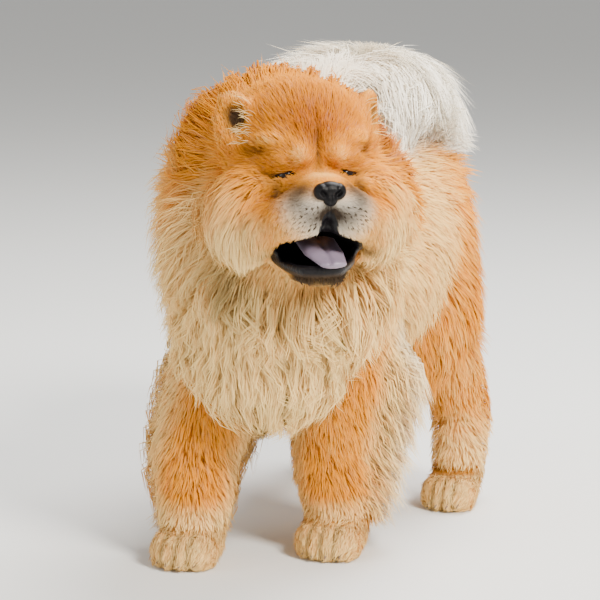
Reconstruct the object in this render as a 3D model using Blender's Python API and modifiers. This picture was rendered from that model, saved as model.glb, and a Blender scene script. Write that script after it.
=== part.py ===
"""A life-size chow chow, standing: a museum model of the whole dog.

The dog faces -Y, its left side is +X, and it stands on the floor z = 0. All sizes are metres.
Each node of flesh is a rounded core, and the long coat on it is made of flat, tapered locks that are
rooted in that core, follow the lie of the coat and reach its real outer surface.
"""

import math
import random
from collections import Counter
from dataclasses import dataclass

import bmesh
import bpy
from mathutils import Matrix, Vector
from mathutils.bvhtree import BVHTree

# Driving sizes
WITHERS = 0.490  # height of the skin over the shoulders
CHEST_WIDTH = 0.216  # of the skin
BODY_COAT = 0.062  # depth of the coat on the body
RUFF_COAT = 0.094
FACE_COAT = 0.008
PLUME_COAT = 0.090
BREECHES_COAT = 0.050
LEG_COAT = 0.024
SHANK_COAT = 0.018
PAW_COAT = 0.007
CORE_SHARE = 0.5  # how much of the coat's depth the core takes, and the locks the rest
GAP = 0.0005  # left between nodes that touch
LOCK_GAP = 0.0003  # left round a lock that would cross another node
SHARPEST = 4.0  # most that a sharp edge moves, in gaps, when a mesh is grown
WRIST_HEIGHT = 0.062  # where a leg ends and its paw begins
LOCK_STEPS = 3  # straight lengths along one lock
LOCK_SINK = 0.014  # how far a lock's root goes under the core's surface
LOCK_SWAY = 0.008  # how far a lock's path wanders to a side
LOCK_ROLL = 0.16  # how far a lock is rolled about its path, so that it passes over the next one
LOCK_TRIMS = (1.0, 0.85, 0.70, 0.55)  # lengths that are tried where a lock would cross another node
ROOT_CLEARANCE = 0.012  # from a lock's root to the next node
COAT_SEEDS = 10  # coats that have seeds of their own
COAT_DRAWS = 8  # most draws of one coat
WELD = 0.000004  # corners closer than this are one
PLACES = 6  # decimals of a metre that tell two points apart
SHARP_ANGLE = math.radians(50)  # edges above this are shaded sharp

# Where the paws stand: the middle of each sole
FRONT_LEFT = Vector((0.060, -0.126, 0.0))
FRONT_RIGHT = Vector((-0.090, -0.231, 0.0))
HIND_LEFT = Vector((0.122, 0.155, 0.0))
HIND_RIGHT = Vector((-0.098, 0.255, 0.0))

# The head turns to the dog's left and is held a little up
HEAD_CENTRE = Vector((0.0725, -0.255, 0.500))
HEAD_YAW = math.radians(34)
HEAD_PITCH = math.radians(8)
HEAD_TURN = Matrix.Rotation(HEAD_YAW, 4, "Z") @ Matrix.Rotation(-HEAD_PITCH, 4, "X")
HEAD_PLACE = Matrix.Translation(HEAD_CENTRE) @ HEAD_TURN

# In the head's own axes, -Y is forward
NOSE_CENTRE = Vector((0.0, -0.135, -0.029))
EYE_CENTRE = Vector((0.0340, -0.057, -0.008))
EYE_RADIUS = 0.0115

# Between the head and the neck, in the head's axes: a point of the level cut and its forward axis
NECK_JOINT = Vector((0.0, 0.030, -0.030))
NECK_AXIS = Vector((0.0, -0.86, 0.50)).normalized()

# Triangles of each core, about
TORSO_TRIANGLES = 900
NECK_TRIANGLES = 600
TAIL_TRIANGLES = 450
HEAD_TRIANGLES = 1500
JAW_TRIANGLES = 240
TONGUE_TRIANGLES = 150
NOSE_TRIANGLES = 200
EAR_TRIANGLES = 220
FORELEG_TRIANGLES = 240
THIGH_TRIANGLES = 350
SHANK_TRIANGLES = 200
PAW_TRIANGLES = 250

FRONT_PAW = (0.074, 0.088)  # width and length of the skin
HIND_PAW = (0.062, 0.080)

GOLD = (0.62, 0.30, 0.09)
CREAM = (0.80, 0.64, 0.42)
WHITE = (0.88, 0.84, 0.76)
BLACK = (0.02, 0.018, 0.018)
TONGUE_BLUE = (0.30, 0.25, 0.34)


def clear_scene():
    for obj in list(bpy.data.objects):
        bpy.data.objects.remove(obj, do_unlink=True)


def new_collection(name):
    made = bpy.data.collections.new(name)
    bpy.context.scene.collection.children.link(made)
    return made


def paint(obj, name, colour, roughness):
    made = bpy.data.materials.get(name) or bpy.data.materials.new(name)
    made.use_nodes = True
    shader = made.node_tree.nodes["Principled BSDF"]
    shader.inputs["Base Color"].default_value = (*colour, 1.0)
    shader.inputs["Roughness"].default_value = roughness
    shader.inputs["Metallic"].default_value = 0.0
    obj.data.materials.clear()
    obj.data.materials.append(made)


def new_object(name, bm, collection):
    mesh = bpy.data.meshes.new(name)
    bm.to_mesh(mesh)
    bm.free()
    obj = bpy.data.objects.new(name, mesh)
    collection.objects.link(obj)
    return obj


def settle(obj):
    """Applies the object's modifiers to its mesh."""
    graph = bpy.context.evaluated_depsgraph_get()
    mesh = bpy.data.meshes.new_from_object(obj.evaluated_get(graph))
    old = obj.data
    obj.modifiers.clear()
    obj.data = mesh
    bpy.data.meshes.remove(old)


def drop(*objects):
    for obj in objects:
        mesh = obj.data
        bpy.data.objects.remove(obj, do_unlink=True)
        if mesh.users == 0:
            bpy.data.meshes.remove(mesh)


def drop_loose(bm):
    """Deletes all but the largest closed surface."""
    unseen = set(bm.faces)
    islands = []
    while unseen:
        front = [unseen.pop()]
        island = list(front)
        while front:
            for edge in front.pop().edges:
                for other in edge.link_faces:
                    if other in unseen:
                        unseen.discard(other)
                        front.append(other)
                        island.append(other)
        islands.append(island)
    islands.sort(key=lambda island: sum(face.calc_area() for face in island))
    loose = [face for island in islands[:-1] for face in island]
    bmesh.ops.delete(bm, geom=loose, context="FACES")
    bmesh.ops.delete(bm, geom=[v for v in bm.verts if not v.link_faces], context="VERTS")


def keep_largest(obj):
    """Keeps only the mesh's largest closed surface, welded, with its faces in a fixed order."""
    bm = bmesh.new()
    bm.from_mesh(obj.data)
    drop_loose(bm)
    bmesh.ops.remove_doubles(bm, verts=list(bm.verts), dist=WELD)
    drop_loose(bm)
    bm.verts.index_update()
    points = [v.co.copy() for v in bm.verts]
    rings = [[v.index for v in face.verts] for face in bm.faces]
    bm.free()
    obj.data.clear_geometry()
    obj.data.from_pydata(points, [], sorted(start_low(ring) for ring in rings))


def start_low(ring):
    """The face's corners in the same turn, from the one with the lowest number."""
    start = ring.index(min(ring))
    return ring[start:] + ring[:start]


def fuse(obj, others):
    """Unites the closed objects in others with obj, and removes them."""
    group = bpy.data.collections.new("fused")
    for other in others:
        group.objects.link(other)
    union = obj.modifiers.new("Fuse", "BOOLEAN")
    union.operation = "UNION"
    union.operand_type = "COLLECTION"
    union.collection = group
    union.solver = "MANIFOLD"
    settle(obj)
    bpy.data.collections.remove(group)
    drop(*others)
    keep_largest(obj)


def cut(obj, cutter):
    """Takes the cutter away from obj, and removes the cutter."""
    modifier = obj.modifiers.new("Cut", "BOOLEAN")
    modifier.operation = "DIFFERENCE"
    modifier.object = cutter
    modifier.solver = "MANIFOLD"
    settle(obj)
    drop(cutter)
    keep_largest(obj)


def keep_inside(obj, keeper):
    """Keeps what of obj lies in the keeper, and removes the keeper."""
    modifier = obj.modifiers.new("Keep", "BOOLEAN")
    modifier.operation = "INTERSECT"
    modifier.object = keeper
    modifier.solver = "MANIFOLD"
    settle(obj)
    drop(keeper)
    keep_largest(obj)


def grown_copy(obj, gap, collection):
    """A copy of the closed mesh with all its faces moved outwards by the gap."""
    bm = bmesh.new()
    bm.from_mesh(obj.data)
    bmesh.ops.triangulate(bm, faces=list(bm.faces))
    bm.normal_update()
    moves = [v.normal * gap * min(SHARPEST, v.calc_shell_factor()) for v in bm.verts]
    for vertex, move in zip(bm.verts, moves):
        vertex.co += move
    return new_object("grown", bm, collection)


def clear_of(obj, *neighbours):
    """Cuts obj clear of its neighbours, with the gap that touching nodes keep."""
    for neighbour in neighbours:
        cut(obj, grown_copy(neighbour, GAP, obj.users_collection[0]))


def ball(centre, radii):
    """A rounded piece of flesh: one station."""
    return ((Vector(centre), Vector(radii)),)


def chain(*stations):
    """Tapering pieces of flesh between neighbouring stations of (centre, radii)."""
    points = [(Vector(centre), Vector(radii)) for centre, radii in stations]
    return list(zip(points, points[1:]))


def both_sides(*pieces):
    """The pieces and their mirror images across x = 0."""
    flip = Vector((-1, 1, 1))
    return list(pieces) + [tuple((c * flip, r.copy()) for c, r in piece) for piece in pieces]


def hull_of(piece, grow, place):
    """One piece as a closed mesh: an ellipsoid, or the hull of two."""
    bm = bmesh.new()
    for centre, radii in piece:
        size = [r + grow for r in radii]
        matrix = place @ Matrix.Translation(centre) @ Matrix.Diagonal((*size, 1.0))
        bmesh.ops.create_uvsphere(bm, u_segments=20, v_segments=12, radius=1.0, matrix=matrix)
    if len(piece) > 1:
        bmesh.ops.delete(bm, geom=list(bm.edges), context="EDGES_FACES")
        made = bmesh.ops.convex_hull(bm, input=list(bm.verts))
        inside = {v for v in made["geom_interior"] if isinstance(v, bmesh.types.BMVert)}
        bmesh.ops.delete(bm, geom=list(inside), context="VERTS")
    return bm


def blob(name, pieces, collection, grow=0.0, place=Matrix.Identity(4), voxel=0.010, rounds=6, triangles=0):
    """Blends rounded pieces into one organic solid of about that many triangles."""
    whole = bmesh.new()
    for piece in pieces:
        part = hull_of(piece, grow, place)
        mesh = bpy.data.meshes.new("piece")
        part.to_mesh(mesh)
        part.free()
        whole.from_mesh(mesh)
        bpy.data.meshes.remove(mesh)
    obj = new_object(name, whole, collection)
    remesh = obj.modifiers.new("Blend", "REMESH")
    remesh.mode = "VOXEL"
    remesh.voxel_size = voxel
    smooth = obj.modifiers.new("Smooth", "SMOOTH")
    smooth.factor = 0.5
    smooth.iterations = rounds
    settle(obj)
    keep_largest(obj)
    if triangles:
        thin = obj.modifiers.new("Thin", "DECIMATE")
        thin.ratio = min(1.0, triangles / (2 * len(obj.data.polygons)))
        thin.use_collapse_triangulate = True
        settle(obj)
    return obj


def half_space(point, direction, collection):
    """A box that fills the space beyond a plane through the point, on the side of the direction."""
    direction = Vector(direction).normalized()
    turn = direction.to_track_quat("Z", "Y").to_matrix().to_4x4()
    bm = bmesh.new()
    matrix = Matrix.Translation(Vector(point) + direction) @ turn
    bmesh.ops.create_cube(bm, size=2.0, matrix=matrix)
    return new_object("half_space", bm, collection)


def ellipsoid(centre, radii, collection, place=Matrix.Identity(4), turn=Matrix.Identity(4), segments=16):
    bm = bmesh.new()
    matrix = place @ Matrix.Translation(centre) @ turn @ Matrix.Diagonal((*radii, 1.0))
    bmesh.ops.create_uvsphere(bm, u_segments=segments, v_segments=segments // 2, radius=1.0, matrix=matrix)
    return new_object("ellipsoid", bm, collection)


# Flesh of the body: stations of the skin
def torso_pieces():
    half = CHEST_WIDTH / 2
    return chain(
        ((0.0, -0.200, 0.312), (half * 0.70, 0.045, 0.090)),
        ((0.0, -0.150, 0.338), (half * 0.92, 0.060, 0.118)),
        ((0.0, -0.060, WITHERS - 0.125), (half, 0.070, 0.125)),
        ((0.0, 0.050, WITHERS - 0.120), (half * 0.93, 0.070, 0.112)),
        ((0.0, 0.140, 0.378), (half * 0.82, 0.070, 0.097)),
        ((0.0, 0.205, 0.382), (half * 0.74, 0.060, 0.088)),
        ((0.0, 0.240, 0.380), (half * 0.50, 0.040, 0.062)),
    )


def neck_pieces():
    shoulder = ((-0.003, -0.130, 0.425), (0.086, 0.062, 0.085))
    nape = ((0.042, -0.195, 0.458), (0.066, 0.034, 0.052))
    throat = ((0.020, -0.210, 0.365), (0.074, 0.036, 0.062))
    return chain(shoulder, nape) + chain(shoulder, throat)


def tail_pieces():
    """The tail itself: up from the croup, then forwards over the back."""
    return chain(
        ((0.0, 0.240, 0.440), (0.026, 0.026, 0.030)),
        ((0.0, 0.215, 0.505), (0.034, 0.034, 0.028)),
        ((0.0, 0.135, 0.532), (0.048, 0.050, 0.014)),
        ((-0.004, 0.060, 0.535), (0.052, 0.046, 0.012)),
        ((-0.008, 0.005, 0.530), (0.038, 0.030, 0.010)),
    )


def head_pieces():
    return [
        ball((0.0, 0.016, 0.026), (0.076, 0.074, 0.068)),
        ball((0.0, -0.034, 0.020), (0.056, 0.038, 0.038)),
        ball((0.0, 0.005, -0.070), (0.056, 0.055, 0.042)),
        *chain(
            ((0.0, -0.040, -0.034), (0.036, 0.030, 0.030)),
            ((0.0, -0.107, -0.036), (0.031, 0.022, 0.022)),
        ),
        *both_sides(
            ball((0.055, -0.008, -0.046), (0.042, 0.054, 0.048)),
            ball((0.0250, -0.094, -0.051), (0.027, 0.034, 0.026)),
            ball((0.0460, -0.060, -0.060), (0.024, 0.031, 0.025)),
            ball((0.028, -0.060, 0.012), (0.019, 0.014, 0.011)),
            ball((0.039, -0.053, -0.024), (0.018, 0.018, 0.010)),
        ),
    ]


def jaw_pieces():
    return chain(
        ((0.0, -0.034, -0.098), (0.050, 0.020, 0.022)),
        ((0.0, -0.062, -0.108), (0.042, 0.022, 0.018)),
        ((0.0, -0.092, -0.118), (0.029, 0.016, 0.013)),
    )


def tongue_pieces():
    return chain(
        ((0.0, -0.045, -0.084), (0.024, 0.020, 0.006)),
        ((0.0, -0.086, -0.095), (0.023, 0.020, 0.005)),
        ((0.002, -0.114, -0.106), (0.016, 0.009, 0.005)),
    )


def nose_pieces():
    return [
        ball(NOSE_CENTRE + Vector((0, 0.004, 0.002)), (0.0150, 0.0110, 0.0110)),
        ball(NOSE_CENTRE + Vector((0, 0.002, -0.008)), (0.0085, 0.0085, 0.0080)),
        *both_sides(ball(NOSE_CENTRE + Vector((0.0095, 0.003, 0.001)), (0.0092, 0.0105, 0.0098))),
    ]


def ear_pieces(side):
    """A small, thick ear, rounded at its tip, that points up and out."""
    return chain(
        ((side * 0.065, 0.002, 0.042), (0.029, 0.014, 0.022)),
        ((side * 0.072, 0.000, 0.062), (0.024, 0.012, 0.018)),
        ((side * 0.080, -0.004, 0.084), (0.0080, 0.0065, 0.0085)),
    )


def foreleg_pieces(foot):
    side = math.copysign(1, foot.x)
    reach = foot.y + 0.022 + 0.125
    return chain(
        ((side * 0.070 - 0.004, -0.125 + reach * 0.10, 0.320), (0.042, 0.062, 0.060)),
        ((side * 0.081 - 0.007, -0.125 + reach * 0.45, 0.235), (0.046, 0.050, 0.045)),
        ((foot.x - 0.007, -0.125 + reach * 0.82, 0.135), (0.036, 0.038, 0.040)),
        ((foot.x, foot.y + 0.020, 0.050), (0.021, 0.025, 0.030)),
    )


def thigh_pieces(foot):
    side = math.copysign(1, foot.x)
    reach = foot.y - 0.205
    return chain(
        ((side * 0.062, 0.165, 0.350), (0.050, 0.078, 0.072)),
        ((side * 0.084, 0.170 + reach * 0.35, 0.262), (0.044, 0.062, 0.050)),
        ((side * 0.088, 0.205 + reach * 0.70, 0.205), (0.026, 0.040, 0.030)),
    )


def shank_pieces(foot):
    side = math.copysign(1, foot.x)
    return chain(
        ((foot.x - side * 0.016, foot.y + 0.026, 0.190), (0.024, 0.034, 0.040)),
        ((foot.x - side * 0.006, foot.y + 0.056, 0.122), (0.020, 0.025, 0.026)),
        ((foot.x, foot.y + 0.030, 0.050), (0.018, 0.020, 0.026)),
    )


def paw_pieces(foot, width, length):
    """A round paw: a pad and four arched toes."""
    pieces = [ball(foot + Vector((0, length * 0.18, 0.030)), (width * 0.43, length * 0.36, 0.036))]
    for across, ahead in ((-0.33, 0.20), (-0.12, 0.30), (0.12, 0.30), (0.33, 0.20)):
        toe = foot + Vector((width * across, -length * ahead, 0.020))
        pieces.append(ball(toe, (width * 0.16, length * 0.22, 0.022)))
    return pieces


def make_leg(name, pieces, collection, coat, triangles):
    """A leg's core, cut level where its paw begins."""
    leg = blob(name, pieces, collection, coat, voxel=0.008, triangles=triangles)
    cut(leg, half_space((0, 0, WRIST_HEIGHT), (0, 0, -1), collection))
    return leg


def make_paw(name, foot, width, length, collection):
    """A paw with a flat sole on the floor, cut level under its leg."""
    pieces = paw_pieces(foot, width, length)
    paw = blob(name, pieces, collection, PAW_COAT, voxel=0.0045, rounds=3, triangles=PAW_TRIANGLES)
    cut(paw, half_space((0, 0, 0), (0, 0, -1), collection))
    cut(paw, half_space((0, 0, WRIST_HEIGHT - GAP), (0, 0, 1), collection))
    return paw


def neck_joint():
    """A point of the level cut between the head and the neck, and the cut's forward axis."""
    return HEAD_PLACE @ NECK_JOINT, HEAD_TURN.to_3x3() @ NECK_AXIS


def make_head(collection):
    """The head with its brow pads, flews, mouth and lids, cut level where the neck begins."""
    head = blob("head", head_pieces(), collection, FACE_COAT, HEAD_PLACE, 0.0055, 3, HEAD_TRIANGLES)
    cut(head, ellipsoid((0, -0.088, -0.088), (0.034, 0.060, 0.025), collection, HEAD_PLACE))
    joint, axis = neck_joint()
    cut(head, half_space(joint, -axis, collection))
    for side in (-1, 1):
        centre = EYE_CENTRE * Vector((side, 1, 1))
        slant = Matrix.Rotation(side * math.radians(18), 4, "Y")
        slit = (0.0140, 0.0240, 0.0045)
        cut(head, ellipsoid(centre + Vector((0, -0.012, 0)), slit, collection, HEAD_PLACE, slant, 12))
        cut(head, ellipsoid(centre, [EYE_RADIUS + 2 * GAP] * 3, collection, HEAD_PLACE, segments=10))
    return head


def make_jaw(collection):
    jaw = blob("lower_jaw", jaw_pieces(), collection, 0.005, HEAD_PLACE, 0.006, 2, JAW_TRIANGLES)
    cut(jaw, ellipsoid((0, -0.080, -0.091), (0.024, 0.036, 0.012), collection, HEAD_PLACE, segments=12))
    return jaw


def make_tongue(collection):
    return blob("tongue", tongue_pieces(), collection, 0.0, HEAD_PLACE, 0.0035, 2, TONGUE_TRIANGLES)


def make_nose(collection):
    nose = blob("nose", nose_pieces(), collection, 0.0, HEAD_PLACE, 0.0022, 2, NOSE_TRIANGLES)
    for side in (-1, 1):
        centre = NOSE_CENTRE + Vector((side * 0.0098, -0.0070, -0.0012))
        slant = Matrix.Rotation(side * math.radians(-35), 4, "Y")
        nostril = (0.0042, 0.0070, 0.0028)
        cut(nose, ellipsoid(centre, nostril, collection, HEAD_PLACE, slant, 8))
    return nose


def make_eye(name, side, collection):
    eye = ellipsoid(EYE_CENTRE * Vector((side, 1, 1)), [EYE_RADIUS] * 3, collection, HEAD_PLACE, segments=10)
    eye.name = name
    return eye


def make_ear(name, side, collection):
    ear = blob(name, ear_pieces(side), collection, 0.003, HEAD_PLACE, 0.004, 2, EAR_TRIANGLES)
    slant = Matrix.Rotation(side * math.radians(32), 4, "Y")
    cup = (0.0140, 0.0120, 0.0220)
    cut(ear, ellipsoid((side * 0.074, -0.017, 0.061), cup, collection, HEAD_PLACE, slant, 10))
    return ear


def shoulder_cone(grow, collection):
    """The rounded cone that opens backwards, along the lie of the ruff, between the neck and the torso."""
    piece = ((Vector((0, -0.175, 0.300)), Vector([0.090] * 3)), (Vector((0, 0.40, 0.30)), Vector([0.50] * 3)))
    return new_object("cone", hull_of(piece, grow, Matrix.Identity(4)), collection)


# The lie of the coat at a point, and which way its locks point
def pull(*parts):
    total = Vector((0, 0, 0))
    for vector, weight in parts:
        total += Vector(vector) * weight
    return total.normalized()


def share_of(value, start, end):
    """How far the value has gone from start to end, from 0 to 1."""
    return max(0.0, min(1.0, (value - start) / (end - start)))


def body_lie(point):
    """Back along the body, and down its sides."""
    side = max(-1.0, min(1.0, point.x / 0.10))
    low = share_of(point.z, 0.46, 0.28)
    return pull(((0, 1, -0.1), 1.0), ((side * 0.2, 0, -1), 0.3 + 0.9 * low))


def ruff_lie(point):
    """Away from the face on every side: back over the shoulders and down over the chest."""
    away = point - HEAD_CENTRE - Vector((0.02, -0.04, -0.01))
    away.y *= 0.6
    low = share_of(point.z, 0.50, 0.36)
    return pull((away.normalized(), 1.0), ((0, 1, 0), 0.5 * (1 - low)), ((0, 0, -1), 0.9 * low))


def cheek_lie(point):
    """Back and out from the face, and down under the cheeks."""
    local = HEAD_PLACE.inverted() @ point
    low = share_of(local.z, 0.01, -0.06)
    outward = Vector((math.copysign(1.0, local.x), 0.9, -1.3 * low))
    return (HEAD_TURN.to_3x3() @ outward).normalized()


def plume_lie(point):
    """Out to both sides and forwards from the middle of the tail."""
    side = max(-1.0, min(1.0, point.x / 0.05))
    rear = share_of(point.y, 0.14, 0.24)
    return pull(
        ((side, 0, 0), 1.0 - 0.5 * rear),
        ((0, -1, 0), 0.55 * (1 - 2 * rear)),
        ((0, 0, -1), 0.3 * abs(side) + 1.2 * rear),
    )


def breeches_lie(point):
    return pull(((0, 0, -1), 1.0), ((0, 1, 0), 0.45))


def feather_lie(point):
    return pull(((0, 0, -1), 1.0), ((0, 1, 0), 0.35))


def spread_roots(core, coat, seed, neighbours):
    """Points spread evenly over the core, clear of the nodes that cover it."""
    draw = random.Random(seed)
    mesh = core.data
    mesh.calc_loop_triangles()
    corners = [[mesh.vertices[i].co for i in t.vertices] for t in mesh.loop_triangles]
    areas = [(b - a).cross(c - a).length / 2 for a, b, c in corners]
    roots = []
    for a, b, c in draw.choices(corners, weights=areas, k=int(60 * sum(areas) / coat.spacing**2)):
        u, v = draw.random(), draw.random()
        if u + v > 1:
            u, v = 1 - u, 1 - v
        point = a + (b - a) * u + (c - a) * v
        normal = (b - a).cross(c - a).normalized()
        if not coat.grows(point, normal):
            continue
        if any((point - other).length < coat.spacing for other in roots):
            continue
        if all(tree.find_nearest(point)[3] > ROOT_CLEARANCE for tree in neighbours):
            roots.append(point)
    return roots


def lock_template():
    """A flat lock of unit size along +Y: three sides, a closed root and a pointed tip."""
    bm = bmesh.new()
    lay = Matrix.Rotation(math.pi, 4, "Y") @ Matrix.Rotation(-math.pi / 2, 4, "X")
    bmesh.ops.create_cone(
        bm, cap_ends=True, segments=3, radius1=1.0, radius2=0.0, depth=1.0,
        matrix=Matrix.Translation((0, 0.5, 0)) @ lay,
    )
    bmesh.ops.remove_doubles(bm, verts=list(bm.verts), dist=0.001)
    for step in range(1, LOCK_STEPS):
        whole = list(bm.verts) + list(bm.edges) + list(bm.faces)
        bmesh.ops.bisect_plane(bm, geom=whole, plane_co=(0, step / LOCK_STEPS, 0), plane_no=(0, 1, 0))
    bmesh.ops.triangulate(bm, faces=list(bm.faces))
    bmesh.ops.recalc_face_normals(bm, faces=list(bm.faces))
    mesh = bpy.data.meshes.new("lock")
    bm.to_mesh(mesh)
    bm.free()
    return mesh


def comb(root, ground, coat, length, depth, sway):
    """A lock's path: from under the root, along the lie, out to the coat's surface."""
    path = []
    at = root
    for step in range(LOCK_STEPS + 1):
        share = step / LOCK_STEPS
        foot, normal, _, _ = ground.find_nearest(at)
        along = coat.lie(foot)
        along = (along - normal * along.dot(normal)).normalized()
        side = along.cross(normal)
        lift = -LOCK_SINK + (depth + LOCK_SINK) * (1 - (1 - share) ** 1.6)
        path.append((foot + normal * lift + side * sway * math.sin(share * 3.0), normal, side))
        at = foot + along * (length / LOCK_STEPS)
    return path


def bend_lock(template, path, width, thickness):
    """A copy of the unit lock, bent along the path, tapered to its tip and rolled like a shingle."""
    mesh = template.copy()
    for vertex in mesh.vertices:
        share = vertex.co.y
        centre, normal, side = path[round(share * LOCK_STEPS)]
        cone = 1.0 - share
        if cone < 0.001:
            vertex.co = centre
            continue
        across = vertex.co.x / cone / 1.73 * width * (1 - (1.6 * (share - 0.35)) ** 2)
        up = vertex.co.z / cone / 1.5 * thickness * (1 - 0.5 * share)
        rise = across * math.sin(LOCK_ROLL)
        vertex.co = centre + side * (across * math.cos(LOCK_ROLL)) + normal * (up + rise)
    return mesh


def crosses(mesh, obstacles):
    """True where the lock's mesh runs into a neighbour."""
    points = [v.co for v in mesh.vertices]
    tree = BVHTree.FromPolygons(points, [list(p.vertices) for p in mesh.polygons])
    return any(tree.overlap(obstacle) for obstacle in obstacles)


def make_locks(core, coat, seed, ground, obstacles, collection):
    """The coat's locks, all over the core.

    A lock that would cross a neighbour is made shorter, and left out where even a short one would.
    """
    draw = random.Random(seed)
    template = lock_template()
    locks = []
    for root in spread_roots(core, coat, seed, obstacles):
        length = coat.length * draw.uniform(0.85, 1.15)
        width = coat.width * draw.uniform(0.85, 1.2)
        depth = coat.depth * draw.uniform(0.85, 1.05)
        sway = LOCK_SWAY * draw.uniform(-1, 1)
        for trim in LOCK_TRIMS:
            path = comb(root, ground, coat, length * trim, depth, sway * trim)
            mesh = bend_lock(template, path, width * math.sqrt(trim), coat.thickness)
            if not crosses(mesh, obstacles):
                lock = bpy.data.objects.new("lock", mesh)
                collection.objects.link(lock)
                locks.append(lock)
                break
            bpy.data.meshes.remove(mesh)
    bpy.data.meshes.remove(template)
    return locks


def is_sound(obj):
    """True where just two triangles of the mesh meet along each edge, also by place."""
    bm = bmesh.new()
    bm.from_mesh(obj.data)
    bmesh.ops.triangulate(bm, faces=list(bm.faces))
    sound = all(vertex.is_manifold for vertex in bm.verts)
    places = {vertex: tuple(round(c, PLACES) for c in vertex.co) for vertex in bm.verts}
    meetings = Counter()
    for face in bm.faces:
        meetings.update(frozenset(places[v] for v in edge.verts) for edge in face.edges)
    bm.free()
    return sound and all(len(ends) == 2 and faces == 2 for ends, faces in meetings.items())


def grow_coat(core, coat, ground, neighbours, collection):
    """Fuses the core with the first draw of the coat's locks that leaves a clean surface."""
    obstacles = [tree_grown(other, LOCK_GAP) for other in neighbours]
    finished = [tree_of(other) for other in neighbours]
    bare = core.data
    for draw in range(COAT_DRAWS):
        core.data = bare.copy()
        locks = make_locks(core, coat, coat.seed + COAT_SEEDS * draw, ground, obstacles, collection)
        fuse(core, locks)
        if is_sound(core) and not crosses(core.data, finished):
            break
    bpy.data.meshes.remove(bare)


def tree_grown(obj, gap):
    """A search tree over the object's faces, all moved outwards by the gap."""
    grown = grown_copy(obj, gap, obj.users_collection[0])
    tree = tree_of(grown)
    drop(grown)
    return tree


def tree_of(*objects):
    bm = bmesh.new()
    for obj in objects:
        bm.from_mesh(obj.data)
    tree = BVHTree.FromBMesh(bm)
    bm.free()
    return tree


def to_triangles(obj):
    bm = bmesh.new()
    bm.from_mesh(obj.data)
    bmesh.ops.triangulate(bm, faces=list(bm.faces))
    bm.to_mesh(obj.data)
    bm.free()


def stand_at_origin(objects):
    """Moves the model so that its box is centred over the origin, with its soles on the floor."""
    points = [v.co for obj in objects for v in obj.data.vertices]
    middle = [(min(p[i] for p in points) + max(p[i] for p in points)) / 2 for i in (0, 1)]
    shift = Matrix.Translation((-middle[0], -middle[1], 0.0))
    for obj in objects:
        obj.data.transform(shift)


def shade(objects):
    for obj in objects:
        obj.data.shade_smooth()
        obj.data.set_sharp_from_angle(angle=SHARP_ANGLE)


@dataclass
class Coat:
    """How the locks of one node grow. depth is how far their tips stand off the core."""

    depth: float
    length: float
    width: float
    spacing: float
    lie: object
    seed: int
    grows: object = lambda point, normal: True
    thickness: float = 0.013


def on_body(point, normal):
    """All but the back under the tail."""
    return point.z < 0.46 or point.y < -0.03


def on_cheek(point, normal):
    """The sides of the head, below the eyes and behind the muzzle."""
    local = HEAD_PLACE.inverted() @ point
    return abs(local.x) > 0.058 and local.z < 0.0 and local.y > -0.045


def on_feathers(point, normal):
    """Behind the foreleg, and outside its elbow."""
    outside = point.z > 0.20 and normal.x * point.x > 0 and abs(normal.x) > 0.5
    return point.z > 0.100 and (normal.y > 0.25 or outside)


def on_breeches(point, normal):
    """Outside the thigh and behind it."""
    return point.z > 0.165 and (abs(point.x) > 0.085 or normal.y > 0.2)


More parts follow.
